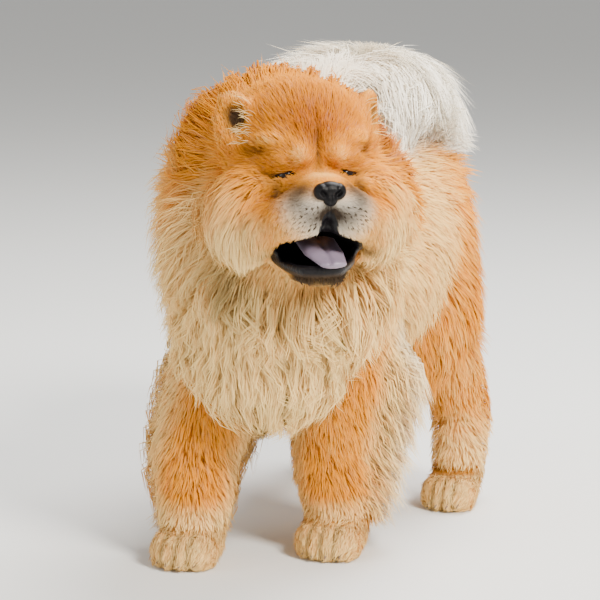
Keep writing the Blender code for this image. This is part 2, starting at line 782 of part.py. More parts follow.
def build():
    clear_scene()
    dog = new_collection("chow_chow")
    torso = blob("torso", torso_pieces(), dog, BODY_COAT * CORE_SHARE, triangles=TORSO_TRIANGLES)
    neck = blob("neck", neck_pieces(), dog, RUFF_COAT * CORE_SHARE, triangles=NECK_TRIANGLES)
    joint, axis = neck_joint()
    cut(neck, half_space(joint - axis * GAP, axis, dog))
    cut(neck, shoulder_cone(GAP, dog))
    keep_inside(torso, shoulder_cone(0.0, dog))
    tail = blob("tail", tail_pieces(), dog, PLUME_COAT * CORE_SHARE, triangles=TAIL_TRIANGLES)
    clear_of(tail, torso, neck)

    paws = [
        make_paw(name, foot, *size, dog)
        for name, foot, size in (
            ("front_paw_left", FRONT_LEFT, FRONT_PAW),
            ("front_paw_right", FRONT_RIGHT, FRONT_PAW),
            ("hind_paw_left", HIND_LEFT, HIND_PAW),
            ("hind_paw_right", HIND_RIGHT, HIND_PAW),
        )
    ]
    forelegs = []
    shanks = []
    thighs = []
    for side, inward, front, hind in (
        ("left", -1, FRONT_LEFT, HIND_LEFT),
        ("right", 1, FRONT_RIGHT, HIND_RIGHT),
    ):
        leg = make_leg("foreleg_" + side, foreleg_pieces(front), dog, LEG_COAT, FORELEG_TRIANGLES)
        clear_of(leg, torso, neck)
        forelegs.append(leg)
        breech = BREECHES_COAT * CORE_SHARE
        thigh = blob("thigh_" + side, thigh_pieces(hind), dog, breech, triangles=THIGH_TRIANGLES)
        clear_of(thigh, torso)
        cut(thigh, half_space((-inward * GAP, 0, 0), (inward, 0, 0), dog))
        thighs.append(thigh)
        shank = make_leg("shank_" + side, shank_pieces(hind), dog, SHANK_COAT, SHANK_TRIANGLES)
        clear_of(shank, thigh)
        shanks.append(shank)

    head = make_head(dog)
    jaw = make_jaw(dog)
    clear_of(jaw, head)
    cut(jaw, half_space(joint, -axis, dog))
    tongue = make_tongue(dog)
    clear_of(tongue, head, jaw)
    nose = make_nose(dog)
    clear_of(nose, head)
    eyes = [make_eye("eye_left", 1, dog), make_eye("eye_right", -1, dog)]
    ears = [make_ear("ear_left", 1, dog), make_ear("ear_right", -1, dog)]
    for ear in ears:
        clear_of(ear, head, neck)

    dress(head, jaw, ears, neck, torso, tail, forelegs, thighs, shanks, dog)

    nodes = [torso, neck, head, jaw, tongue, nose, tail, *eyes, *ears, *forelegs, *paws, *thighs, *shanks]
    for obj in nodes:
        to_triangles(obj)
    stand_at_origin(nodes)
    shade(nodes)
    for obj in (torso, head, tail, *ears, *forelegs, *thighs):
        paint(obj, "golden_coat", GOLD, 0.9)
    for obj in (neck, jaw, *shanks):
        paint(obj, "cream_coat", CREAM, 0.9)
    for obj in paws:
        paint(obj, "white_coat", WHITE, 0.9)
    for obj in (nose, *eyes):
        paint(obj, "black_leather", BLACK, 0.35)
    paint(tongue, "blue_tongue", TONGUE_BLUE, 0.4)


def dress(head, jaw, ears, neck, torso, tail, forelegs, thighs, shanks, dog):
    """Grows the long coat, node by node from the head back, each clear of what is finished."""
    head_ground = tree_of(head, neck)
    neck_ground = tree_of(neck, torso, *forelegs)
    body_ground = tree_of(torso, *forelegs, *thighs)
    tail_ground = tree_of(tail, torso)
    legs_ground = tree_of(*forelegs, torso)
    thigh_ground = tree_of(*thighs, *shanks)
    left = 1.0 - CORE_SHARE
    cheeks = Coat(0.018, 0.064, 0.050, 0.042, cheek_lie, 1, on_cheek, 0.011)
    ruff = Coat(RUFF_COAT * left, 0.125, 0.068, 0.046, ruff_lie, 2)
    body = Coat(BODY_COAT * left, 0.125, 0.076, 0.062, body_lie, 3, on_body)
    plume = Coat(PLUME_COAT * left, 0.125, 0.064, 0.051, plume_lie, 4)
    feathers = Coat(0.034, 0.085, 0.054, 0.047, feather_lie, 5, on_feathers, 0.012)
    breeches = Coat(BREECHES_COAT * left, 0.100, 0.062, 0.052, breeches_lie, 6, on_breeches)

    grow_coat(head, cheeks, head_ground, [neck, jaw], dog)
    for leg in forelegs:
        grow_coat(leg, feathers, legs_ground, [torso, neck], dog)
    for thigh, shank, other in zip(thighs, shanks, reversed(thighs)):
        grow_coat(thigh, breeches, thigh_ground, [torso, shank, other], dog)
    grow_coat(neck, ruff, neck_ground, [head, jaw, torso, tail, *ears, *forelegs], dog)
    grow_coat(tail, plume, tail_ground, [torso, neck, *thighs], dog)
    grow_coat(torso, body, body_ground, [neck, tail, *forelegs, *thighs], dog)


build()
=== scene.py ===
import math

import bpy
import numpy as np
from mathutils import Matrix, Vector
from mathutils.bvhtree import BVHTree
from mathutils.kdtree import KDTree


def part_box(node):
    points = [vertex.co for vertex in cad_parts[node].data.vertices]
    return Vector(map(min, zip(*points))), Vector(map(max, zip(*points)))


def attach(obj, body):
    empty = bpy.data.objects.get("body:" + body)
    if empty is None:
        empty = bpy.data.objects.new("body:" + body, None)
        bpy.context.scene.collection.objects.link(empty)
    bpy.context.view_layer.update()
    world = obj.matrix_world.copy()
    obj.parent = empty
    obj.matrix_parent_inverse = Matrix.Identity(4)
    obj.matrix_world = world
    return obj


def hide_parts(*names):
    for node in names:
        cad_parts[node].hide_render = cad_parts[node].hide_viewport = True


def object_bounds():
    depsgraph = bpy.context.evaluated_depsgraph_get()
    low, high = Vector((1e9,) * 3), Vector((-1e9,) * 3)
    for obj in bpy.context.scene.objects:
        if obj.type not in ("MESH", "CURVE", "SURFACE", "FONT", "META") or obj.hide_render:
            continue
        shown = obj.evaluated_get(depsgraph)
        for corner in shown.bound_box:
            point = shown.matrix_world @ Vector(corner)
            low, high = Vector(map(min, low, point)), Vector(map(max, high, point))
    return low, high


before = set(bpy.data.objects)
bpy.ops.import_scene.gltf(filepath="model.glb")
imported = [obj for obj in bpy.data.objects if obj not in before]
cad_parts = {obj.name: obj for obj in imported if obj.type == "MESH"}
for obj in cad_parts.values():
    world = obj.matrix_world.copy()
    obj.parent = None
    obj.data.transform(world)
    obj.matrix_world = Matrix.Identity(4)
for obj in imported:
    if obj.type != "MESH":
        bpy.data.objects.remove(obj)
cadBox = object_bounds()
draw = np.random.default_rng(7)

# the head's place, and the left eye and the nose in its own axes, where -Y is forward
headPose = {"at": (0.0725, -0.255, 0.5), "yaw": 34.0, "tilt": -8.0}
headCentre = Vector(headPose["at"])
headYaw = Matrix.Rotation(math.radians(headPose["yaw"]), 4, "Z")
headTurn = headYaw @ Matrix.Rotation(math.radians(headPose["tilt"]), 4, "X")
headPlace = Matrix.Translation(headCentre) @ headTurn
stay = Matrix.Identity(4)
eyeAt = (0.034, -0.057, -0.008)
noseAt = (0.0, -0.135, -0.029)
# the middle of each sole, the width and length of each paw, and its toes in shares of these
feet = {
    "foreLeft": (0.06, -0.126), "foreRight": (-0.09, -0.231),
    "hindLeft": (0.122, 0.155), "hindRight": (-0.098, 0.255),
}
pawSize = {"fore": (0.074, 0.088), "hind": (0.062, 0.08)}
toes = ((-0.33, 0.2), (-0.12, 0.3), (0.12, 0.3), (0.33, 0.2))
legs = [part + side for part in ("fore", "thigh", "shank") for side in ("Left", "Right")]
paws = [name + "Paw" for name in feet]
# the eyes give the way from these places to the frame's
eyeBoxes = [corner for side in ("eye_left", "eye_right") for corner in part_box(side)]
offset = sum(eyeBoxes, Vector()) / 4 - headPlace @ Vector((0, eyeAt[1], eyeAt[2]))
offset.z = 0.0


# places and directions in the axes of the head, or of an ear
def toLocal(points, place=headPlace):
    inverse = np.array(place.inverted())
    return points @ inverse[:3, :3].T + inverse[:3, 3]


def toWorld(points):
    matrix = np.array(headPlace)
    return points @ matrix[:3, :3].T + matrix[:3, 3]


def turnToLocal(vectors):
    return vectors @ np.array(headTurn.inverted())[:3, :3].T


def turnToWorld(vectors):
    return vectors @ np.array(headTurn)[:3, :3].T


def mirrored(local):
    made = local.copy()
    made[:, 0] = np.abs(made[:, 0])
    return made


# a soft step from 0 at start to 1 at end
def ramp(value, start, end):
    share = np.clip((value - start) / (end - start), 0.0, 1.0)
    return share * share * (3 - 2 * share)


def unit(vectors):
    return vectors / np.maximum(np.linalg.norm(vectors, axis=-1, keepdims=True), 1e-9)


# how far points are from a centre, in shares of its radii
def gauge(points, centre, radii):
    return np.linalg.norm((points - np.array(centre)) / np.array(radii), axis=-1)


# a soft round spot
def bump(points, centre, radii):
    return np.exp(-gauge(points, centre, radii) ** 2)


def bumps(points, table):
    return sum(strength * bump(points, centre, radii) for strength, centre, radii in table.values())


# camera, light and floor
view = {
    "azimuth": 22.0, "pitch": 10.0, "at": (1.157, -2.954, 0.857),
    "lens": 150.0, "sensor": 36.0, "clipEnd": 50.0,
}
azimuth, pitch = math.radians(view["azimuth"]), math.radians(view["pitch"])
back = Vector((math.sin(azimuth) * math.cos(pitch), -math.cos(azimuth) * math.cos(pitch), math.sin(pitch)))
bpy.ops.object.camera_add(location=Vector(view["at"]) + offset)
camera = bpy.context.object
camera.data.lens = view["lens"]
camera.data.sensor_width = view["sensor"]
camera.rotation_euler = (-back).to_track_quat("-Z", "Y").to_euler()
camera.data.clip_end = view["clipEnd"]
bpy.context.scene.camera = camera

# where each lamp is and what it points at, its size, power and colour
lamps = {
    "keyLight": ((2.8, -1.8, 3.0), (0, 0, 0.35), 1.2, 330, (1.0, 0.95, 0.87)),
    "fillLight": ((-2.6, -2.8, 1.6), (0, 0, 0.3), 2.4, 45, (1.0, 0.98, 0.95)),
    "topLight": ((0.5, 1.2, 3.0), (0, 0, 0.4), 2.0, 190, (1.0, 0.98, 0.95)),
}
for name, (at, aim, size, power, colour) in lamps.items():
    bpy.ops.object.light_add(type="AREA", location=at)
    lamp = bpy.context.object
    lamp.name = name
    lamp.data.shape = "DISK"
    lamp.data.size = size
    lamp.data.energy = power
    lamp.data.color = colour
    lamp.rotation_euler = (Vector(aim) - Vector(at)).to_track_quat("-Z", "Y").to_euler()

room = {"colour": (1.0, 0.98, 0.95), "strength": 0.55}
world = bpy.data.worlds.new("paleRoom")
world.use_nodes = True
background = world.node_tree.nodes["Background"]
background.inputs["Color"].default_value = (*room["colour"], 1)
background.inputs["Strength"].default_value = room["strength"]
bpy.context.scene.world = world


# a socket of a material, which can be reckoned with
class Wire:

    def __init__(self, tree, socket):
        self.tree = tree
        self.socket = socket

    def maths(self, operation, first, second):
        return addNode(self.tree, "ShaderNodeMath", {"operation": operation}, {0: first, 1: second})

    def __add__(self, other):
        return self.maths("ADD", self, other)

    def __sub__(self, other):
        return self.maths("SUBTRACT", self, other)

    def __rsub__(self, other):
        return self.maths("SUBTRACT", other, self)

    def __mul__(self, other):
        return self.maths("MULTIPLY", self, other)

    __radd__ = __add__
    __rmul__ = __mul__


def plug(tree, socket, value):
    if isinstance(value, Wire):
        tree.links.new(value.socket, socket)
    elif socket.type == "RGBA":
        socket.default_value = (*value, 1.0)
    else:
        socket.default_value = value


# a node of any kind: first its settings, then what goes into its sockets
def addNode(tree, kind, settings, values, output=0):
    made = tree.nodes.new(kind)
    for name, value in settings.items():
        setattr(made, name, value)
    for name, value in values.items():
        plug(tree, made.inputs[name], value)
    return Wire(tree, made.outputs[output])


# sockets 0, 6 and 7 of this node are the share and the two colours, and output 2 is the mixed colour
def mixColour(tree, share, first, second, blend="MIX"):
    settings = {"data_type": "RGBA", "blend_type": blend, "clamp_factor": True}
    return addNode(tree, "ShaderNodeMix", settings, {0: share, 6: first, 7: second}, 2)


def readValue(tree, name):
    return addNode(tree, "ShaderNodeAttribute", {"attribute_name": name}, {}, "Fac")


def noise(tree, scale, detail):
    place = addNode(tree, "ShaderNodeTexCoord", {}, {}, "Object")
    return addNode(tree, "ShaderNodeTexNoise", {}, {"Vector": place, "Scale": scale, "Detail": detail})


def pebbles(tree, scale):
    place = addNode(tree, "ShaderNodeTexCoord", {}, {}, "Object")
    return addNode(tree, "ShaderNodeTexVoronoi", {}, {"Vector": place, "Scale": scale})


def relief(tree, height, strength, depth):
    return addNode(tree, "ShaderNodeBump", {}, {"Height": height, "Strength": strength, "Distance": depth})


def newMaterial(name, values):
    made = bpy.data.materials.new(name)
    made.use_nodes = True
    sockets = made.node_tree.nodes["Principled BSDF"].inputs
    for socket, value in values.items():
        plug(made.node_tree, sockets[socket], value)
    return made, made.node_tree, sockets


floorLook = {"size": 60.0, "under": 0.0005, "paint": {"Base Color": (0.8, 0.81, 0.8), "Roughness": 0.9}}
bpy.ops.mesh.primitive_plane_add(size=floorLook["size"], location=(0, 0, -floorLook["under"]))
floor = bpy.context.object
floor.name = "floor"
floor.data.materials.append(newMaterial("floorPaint", floorLook["paint"])[0])
print("stage: camera, lights and floor")


def pick(*objects):
    bpy.ops.object.select_all(action="DESELECT")
    for obj in objects:
        obj.select_set(True)
    bpy.context.view_layer.objects.active = objects[0]


def applyPlace(obj):
    pick(obj)
    bpy.ops.object.transform_apply(location=True, rotation=True, scale=True)


def addBall(centre, radii, place=stay, segments=20, rings=12):
    bpy.ops.mesh.primitive_uv_sphere_add(
        segments=segments, ring_count=rings, radius=1.0,
        location=place @ Vector(centre), rotation=place.to_euler(), scale=radii,
    )
    return bpy.context.object


def joinAll(objects, name):
    pick(*objects)
    bpy.ops.object.join()
    joined = bpy.context.object
    applyPlace(joined)
    joined.name = name
    return joined


def applyModifier(obj, kind, **settings):
    pick(obj)
    made = obj.modifiers.new(kind.lower(), kind)
    for name, value in settings.items():
        setattr(made, name, value)
    bpy.ops.object.modifier_apply(modifier=made.name)


# balls melted into one surface, and smoothed
def melt(obj, voxel, rounds=0):
    applyModifier(obj, "REMESH", mode="VOXEL", voxel_size=voxel)
    if rounds:
        applyModifier(obj, "SMOOTH", factor=0.5, iterations=rounds)


def readAll(items, name, width=3, kind=np.float32):
    made = np.empty(len(items) * width, kind)
    items.foreach_get(name, made)
    return made.reshape(-1, width).astype(int if kind is np.int32 else float)


def pointsOf(obj):
    return readAll(obj.data.vertices, "co")


def normalsOf(obj):
    return readAll(obj.data.vertex_normals, "vector")


def setPoints(obj, points):
    obj.data.vertices.foreach_set("co", points.astype(np.float32).ravel())
    obj.data.update()


# an edit-mode step on the faces whose middles are chosen
def editWhere(obj, chosen, change, **settings):
    pick(obj)
    bpy.ops.object.mode_set(mode="EDIT")
    bpy.ops.mesh.select_mode(type="FACE")
    bpy.ops.mesh.select_all(action="DESELECT")
    bpy.ops.object.mode_set(mode="OBJECT")
    obj.data.polygons.foreach_set("select", chosen(readAll(obj.data.polygons, "center")))
    bpy.ops.object.mode_set(mode="EDIT")
    change(**settings)
    bpy.ops.object.mode_set(mode="OBJECT")


# balls from station to station of a limb
def fill(stations, steps=5):
    made = []
    for (startAt, startRadii), (endAt, endRadii) in zip(stations, stations[1:]):
        for share in np.linspace(0, 1, steps, endpoint=False):
            made.append((np.array(startAt) * (1 - share) + np.array(endAt) * share,
                         np.array(startRadii) * (1 - share) + np.array(endRadii) * share))
    made.append((np.array(stations[-1][0]), np.array(stations[-1][1])))
    return made


def bothSides(balls):
    return balls + [(np.array(centre) * (-1, 1, 1), radii) for centre, radii in balls]


# the flesh: middles and radii of balls, for the head, jaw and ears in the head's axes
halfChest = 0.108
ear = {
    "x": 0.074, "drop": 0.003, "turnLeft": 66.0, "turnRight": 22.0,  # degrees that each ear looks outwards
    "cupAt": (0.077, 0.06), "lean": 18.0, "wide": 0.0158, "high": 0.02, "cup": 0.0115,
}
flesh = {
    "torso": fill([
        ((0.0, -0.2, 0.312), (halfChest * 0.7, 0.045, 0.09)),
        ((0.0, -0.15, 0.338), (halfChest * 0.92, 0.06, 0.118)),
        ((0.0, -0.06, 0.365), (halfChest, 0.07, 0.125)),
        ((0.0, 0.05, 0.37), (halfChest * 0.93, 0.07, 0.112)),
        ((0.0, 0.14, 0.378), (halfChest * 0.82, 0.07, 0.097)),
        ((0.0, 0.205, 0.382), (halfChest * 0.74, 0.06, 0.088)),
        ((0.0, 0.24, 0.38), (halfChest * 0.5, 0.04, 0.062)),
    ], 3),
    "neck": fill([
        ((-0.003, -0.13, 0.425), (0.086, 0.062, 0.085)),
        ((0.042, -0.195, 0.458), (0.066, 0.034, 0.052)),
    ]) + fill([
        ((-0.003, -0.13, 0.425), (0.086, 0.062, 0.085)),
        ((0.02, -0.21, 0.365), (0.074, 0.036, 0.062)),
    ]) + [((0.012, -0.158, 0.49), (0.066, 0.052, 0.056))],
    "tail": fill([
        ((0.0, 0.24, 0.44), (0.026, 0.026, 0.03)),
        ((0.0, 0.215, 0.505), (0.034, 0.034, 0.028)),
        ((0.0, 0.135, 0.532), (0.048, 0.05, 0.014)),
        ((-0.004, 0.06, 0.535), (0.052, 0.046, 0.012)),
        ((-0.008, 0.005, 0.53), (0.038, 0.03, 0.01)),
    ], 6),
    "head": [
        ((0.0, 0.016, 0.026), (0.076, 0.074, 0.068)),  # skull
        ((0.0, -0.034, 0.02), (0.056, 0.038, 0.038)),  # forehead
        ((0.0, 0.005, -0.07), (0.056, 0.055, 0.042)),  # throat
    ] + fill([
        ((0.0, -0.04, -0.034), (0.036, 0.03, 0.03)),  # muzzle
        ((0.0, -0.107, -0.036), (0.031, 0.022, 0.022)),
    ], 6) + bothSides([
        ((0.055, -0.008, -0.046), (0.042, 0.054, 0.048)),  # cheek
        ((0.0265, -0.096, -0.056), (0.027, 0.032, 0.027)),  # upper lip
        ((0.046, -0.062, -0.065), (0.024, 0.031, 0.026)),
        ((0.028, -0.06, 0.012), (0.019, 0.014, 0.011)),  # brow
        ((0.039, -0.053, -0.024), (0.018, 0.018, 0.01)),  # under the eye
        (eyeAt, (0.008, 0.008, 0.008)),
    ]),
    "jaw": fill([
        ((0.0, -0.034, -0.098), (0.05, 0.02, 0.022)),
        ((-0.001, -0.062, -0.107), (0.042, 0.022, 0.018)),
        ((-0.004, -0.093, -0.115), (0.028, 0.015, 0.012)),
    ], 6),
}
earPlace = {}
for side, sign in (("Left", 1), ("Right", -1)):
    flesh["ear" + side] = fill([
        ((sign * 0.07, 0.004, 0.04 - ear["drop"]), (0.032, 0.015, 0.022)),
        ((sign * 0.078, 0.0, 0.062 - ear["drop"]), (0.027, 0.013, 0.019)),
        ((sign * 0.083, -0.004, 0.08 - ear["drop"]), (0.015, 0.0085, 0.011)),
    ], 6)
    earFoot = Matrix.Translation((sign * ear["x"], 0, 0))
    earTurn = Matrix.Rotation(sign * math.radians(ear["turn" + side]), 4, "Z")
    earPlace["ear" + side] = headPlace @ earFoot @ earTurn @ earFoot.inverted()
    # a foreleg leans from the shoulder to its paw
    x, y = feet["fore" + side]
    lean = y + 0.147
    flesh["fore" + side] = fill([
        ((sign * 0.066, -0.125 + lean * 0.1, 0.32), (0.042, 0.062, 0.06)),
        ((sign * 0.074, -0.125 + lean * 0.45, 0.235), (0.046, 0.05, 0.045)),
        ((x - 0.007, -0.125 + lean * 0.82, 0.135), (0.036, 0.038, 0.04)),
        ((x, y + 0.013, 0.052), (0.027, 0.029, 0.032)),
    ])
    # a hind leg leans from the hip
    x, y = feet["hind" + side]
    lean = y - 0.205
    flesh["thigh" + side] = fill([
        ((sign * 0.062, 0.165, 0.35), (0.05, 0.078, 0.072)),
        ((sign * 0.084, 0.17 + lean * 0.35, 0.262), (0.044, 0.062, 0.05)),
        ((sign * 0.088, 0.205 + lean * 0.7, 0.205), (0.026, 0.04, 0.03)),
    ])
    flesh["shank" + side] = fill([
        ((x - sign * 0.016, y + 0.026, 0.19), (0.024, 0.034, 0.04)),
        ((x - sign * 0.006, y + 0.056, 0.122), (0.02, 0.025, 0.026)),
        ((x, y + 0.026, 0.052), (0.021, 0.023, 0.028)),
    ])
for name, (x, y) in feet.items():
    width, length = pawSize[name[:4]]
    flesh[name + "Paw"] = [((x, y + 0.18 * length, 0.026), (0.43 * width, 0.36 * length, 0.03))] + [
        ((x + across * width, y - ahead * length, 0.018), (0.16 * width, 0.23 * length, 0.02))
        for across, ahead in toes
    ]
partNames = list(flesh)
placeOf = {"head": headPlace, "jaw": headPlace, **earPlace}

# how far the skin lies over the balls, and how fine it is
over = {
    "head": 0.005, "jaw": 0.003, "earLeft": 0.002, "earRight": 0.002,
    "torso": 0.016, "neck": 0.024, "tail": 0.02,
    **dict.fromkeys(legs, 0.01), **dict.fromkeys(paws, 0.004),
}
skinMesh = {"voxel": 0.0045, "fineVoxel": 0.004, "rounds": 4, "thin": 0.65}
mouth = {
    "at": (-0.005, -0.084, -0.0925), "radii": (0.048, 0.06, 0.0205),
    "splitAt": (-0.001, -0.124, -0.082), "splitRadii": (0.01, 0.024, 0.027), "splitOver": -0.09,
}
balls = []
for name, stations in flesh.items():
    for centre, radii in stations:
        balls.append(addBall(centre, np.array(radii) + over[name], placeOf.get(name, stay)))
skin = joinAll(balls, "skin")
melt(skin, skinMesh["voxel"])
# the open mouth and the split of the upper lip are cut out
for centre, radii in ((mouth["at"], mouth["radii"]), (mouth["splitAt"], mouth["splitRadii"])):
    cutter = addBall(centre, radii, headPlace, 48, 24)
    applyPlace(cutter)
    applyModifier(skin, "BOOLEAN", operation="DIFFERENCE", object=cutter, solver="MANIFOLD")
    bpy.data.objects.remove(cutter)
melt(skin, skinMesh["fineVoxel"], skinMesh["rounds"])

# the face, the eyes and the toes get finer faces
fine = {
    "face": {"behind": -0.03, "wide": 0.062, "low": -0.135, "high": 0.045},
    "eyes": {"centre": (0.036, -0.066, -0.008), "radii": (0.026, 0.03, 0.02)},
    "toes": {"wide": 0.05, "behind": 0.005, "ahead": 0.07, "high": 0.055},
}


def onFace(points):
    x, y, z = mirrored(toLocal(points)).T
    limits = fine["face"]
    return (y < limits["behind"]) & (x < limits["wide"]) & (z > limits["low"]) & (z < limits["high"])


def roundEyes(points):
    return gauge(mirrored(toLocal(points)), **fine["eyes"]) < 1


def onToes(points):
    made = np.zeros(len(points), bool)
    limits = fine["toes"]
    for x, y in feet.values():
        across, ahead = np.abs(points[:, 0] - x), y - points[:, 1]
        made |= (across < limits["wide"]) & (ahead > -limits["behind"]) & (ahead < limits["ahead"])
    return made & (points[:, 2] < limits["high"])


for chosen in (onFace, roundEyes, onToes):
    editWhere(skin, chosen, bpy.ops.mesh.subdivide, number_cuts=1)
print("skin: faces", len(skin.data.polygons))

# the sculpted face, in the axes of the head and alike on both sides
face = {
    "behind": 0.05, "wide": 0.12,
    "raised": {  # height, middle, radii
        "innerBrow": (0.01, (0.021, -0.081, 0.0135), (0.0105, 0.02, 0.0125)),
        "outerBrow": (0.0085, (0.049, -0.055, 0.029), (0.02, 0.03, 0.0075)),
        "underEye": (0.003, (0.044, -0.052, -0.026), (0.018, 0.026, 0.008)),
        "flew": (0.006, (0.052, -0.088, -0.058), (0.02, 0.026, 0.018)),
        "upperLip": (0.0045, (0.03, -0.112, -0.068), (0.018, 0.02, 0.014)),
        "whiskerPad": (0.0035, (0.018, -0.122, -0.052), (0.016, 0.016, 0.014)),
    },
    "grooves": {  # start, end, half width, depth
        "forehead": ((0.0, -0.09, 0.0), (0.0, -0.055, 0.056), 0.0045, 0.0095),
        "overBrow": ((0.034, -0.072, 0.016), (0.07, -0.022, 0.02), 0.0065, 0.009),
        "besideMuzzle": ((0.046, -0.082, -0.024), (0.074, -0.052, -0.062), 0.0065, 0.0075),
        "innerEye": ((0.012, -0.086, -0.004), (0.032, -0.075, 0.006), 0.0045, 0.0045),
        "outerEye": ((0.042, -0.066, -0.003), (0.066, -0.038, -0.01), 0.0045, 0.0045),
        "tear": ((0.04, -0.075, -0.018), (0.052, -0.08, -0.036), 0.005, 0.006),
        "underNose": ((0.0, -0.132, -0.042), (0.0, -0.128, -0.066), 0.0028, 0.005),
    },
    "eyeRadius": 0.0115, "lid": 0.0013, "lidReach": (0.0215, 0.015), "sunk": 0.0022, "rim": 0.0007,
    "slitHalf": 0.0118, "slitHigh": 0.0025, "slitShift": 0.003, "slant": 14.0,
}


def groove(local, start, end, wide, deep):
    start, end = np.array(start), np.array(end)
    share = np.clip(((local - start) @ (end - start)) / ((end - start) @ (end - start)), 0, 1)
    gap = np.linalg.norm(local - (start + share[:, None] * (end - start)), axis=1)
    taper = 0.35 + 0.65 * np.sin(np.pi * np.clip(share, 0.06, 0.94))
    return -deep * taper * np.exp(-((gap / wide) ** 2))


# places along and across a line that slants by some degrees
def slanted(dx, dz, degrees):
    slant = math.radians(degrees)
    return dx * math.cos(slant) - dz * math.sin(slant), dx * math.sin(slant) + dz * math.cos(slant)


def slitPlace(local, sign):
    dx = local[:, 0] - sign * (eyeAt[0] + face["slitShift"])
    along, across = slanted(dx, local[:, 2] - eyeAt[2], face["slant"] * sign)
    return along * sign, across


# lids over the eye of one side, open along a narrow slit
def addLids(moved, sign):
    centre = np.array(eyeAt) * (sign, 1, 1)
    along, across = slitPlace(moved, sign)
    away = moved - centre
    radius = np.linalg.norm(away, axis=1)
    way = away / np.maximum(radius, 1e-6)[:, None]
    ahead = away[:, 1] < 0.002
    cover = ramp(radius, *face["lidReach"]) * ahead
    target = centre + way * (face["eyeRadius"] + face["lid"])
    sunk = centre + way * (face["eyeRadius"] - face["sunk"])
    high = face["slitHigh"] * np.clip(1 - (along / face["slitHalf"]) ** 2, 0, 1)
    opening = ramp(np.abs(across), high + 0.0008, high - 0.0002) * (np.abs(along) < face["slitHalf"])
    opening = opening * ahead * (radius < 0.024) * (high > 0)
    rim = np.exp(-((np.abs(across) - high - 0.0016) / 0.0012) ** 2) * (np.abs(along) < face["slitHalf"] * 1.1)
    moved = moved + (target - moved) * cover[:, None]
    moved = moved + way * (face["rim"] * rim * cover)[:, None]
    return moved + (sunk - moved) * opening[:, None]


def sculptFace(points, normals):
    local = toLocal(points)
    half = mirrored(local)
    near = (local[:, 1] < face["behind"]) & (half[:, 0] < face["wide"])
    push = bumps(half, face["raised"]) + sum(groove(half, *row) for row in face["grooves"].values())
    moved = local + turnToLocal(normals) * (push * near)[:, None]
    return toWorld(addLids(addLids(moved, 1), -1))


setPoints(skin, sculptFace(pointsOf(skin), normalsOf(skin)))

# grooves between the toes
toeGap = {"at": (-0.225, 0.0, 0.225), "wide": 0.035, "deep": 0.0042}


def toeGaps(points):
    made = np.zeros(len(points))
    for name, (x, y) in feet.items():
        width, length = pawSize[name[:4]]
        across = (points[:, 0] - x) / width
        ahead = (y - points[:, 1]) / length
        for gap in toeGap["at"]:
            near = np.exp(-((across - gap) / toeGap["wide"]) ** 2)
            made += near * ramp(ahead, 0.1, 0.24) * (ahead < 0.8)
    return made * ramp(points[:, 2], 0.056, 0.04)


points = pointsOf(skin)
setPoints(skin, points - normalsOf(skin) * (toeGap["deep"] * toeGaps(points))[:, None])


# the hollow in front of an ear
def earCup(points, side):
    sign = 1 if side == "earLeft" else -1
    local = toLocal(points, earPlace[side])
    dx = local[:, 0] - sign * ear["cupAt"][0]
    dz = local[:, 2] - ear["cupAt"][1] + ear["drop"]
    across, up = slanted(dx, dz, sign * ear["lean"])
    inside = np.exp(-(across / ear["wide"]) ** 2 - (up / ear["high"]) ** 2)
    return inside * ramp(local[:, 1], 0.008, -0.002) * (np.abs(dx) < 0.06)


def cupEars(points, normals):
    for side in ("earLeft", "earRight"):
        turn = np.array(earPlace[side])[:3, :3]
        ahead = (normals @ turn)[:, 1] < 0.25
        inside = earCup(points, side) * ahead * (toLocal(points)[:, 2] > 0.034)
        points = points + turn[:, 1] * (ear["cup"] * inside)[:, None]
    return points


setPoints(skin, cupEars(pointsOf(skin), normalsOf(skin)))
skin.data.polygons.foreach_set("use_smooth", np.ones(len(skin.data.polygons), bool))
points = pointsOf(skin)
points[:, 2] = np.maximum(points[:, 2], 0.0)
setPoints(skin, points)
print("face, toes and ears sculpted")


# how much each part of the body has in a point
def partShares(points):
    gaps = []
    for name in partNames:
        local = toLocal(points, placeOf[name]) if name in placeOf else points
        own = [gauge(local, centre, np.array(radii) + 0.006) for centre, radii in flesh[name]]
        gaps.append(np.min(own, axis=0))
    gaps = np.array(gaps).T
    weights = np.exp(-14 * (gaps - gaps.min(1, keepdims=True)))
    return weights / weights.sum(1, keepdims=True)


def shareOf(shares, *names):
    return shares[:, [partNames.index(name) for name in names]].sum(1)


# which way the coat lies: x, y and z of a direction may be numbers or one value for each point
def ways(count, x, y, z):
    return np.stack([np.broadcast_to(part, count) for part in (x, y, z)], 1)


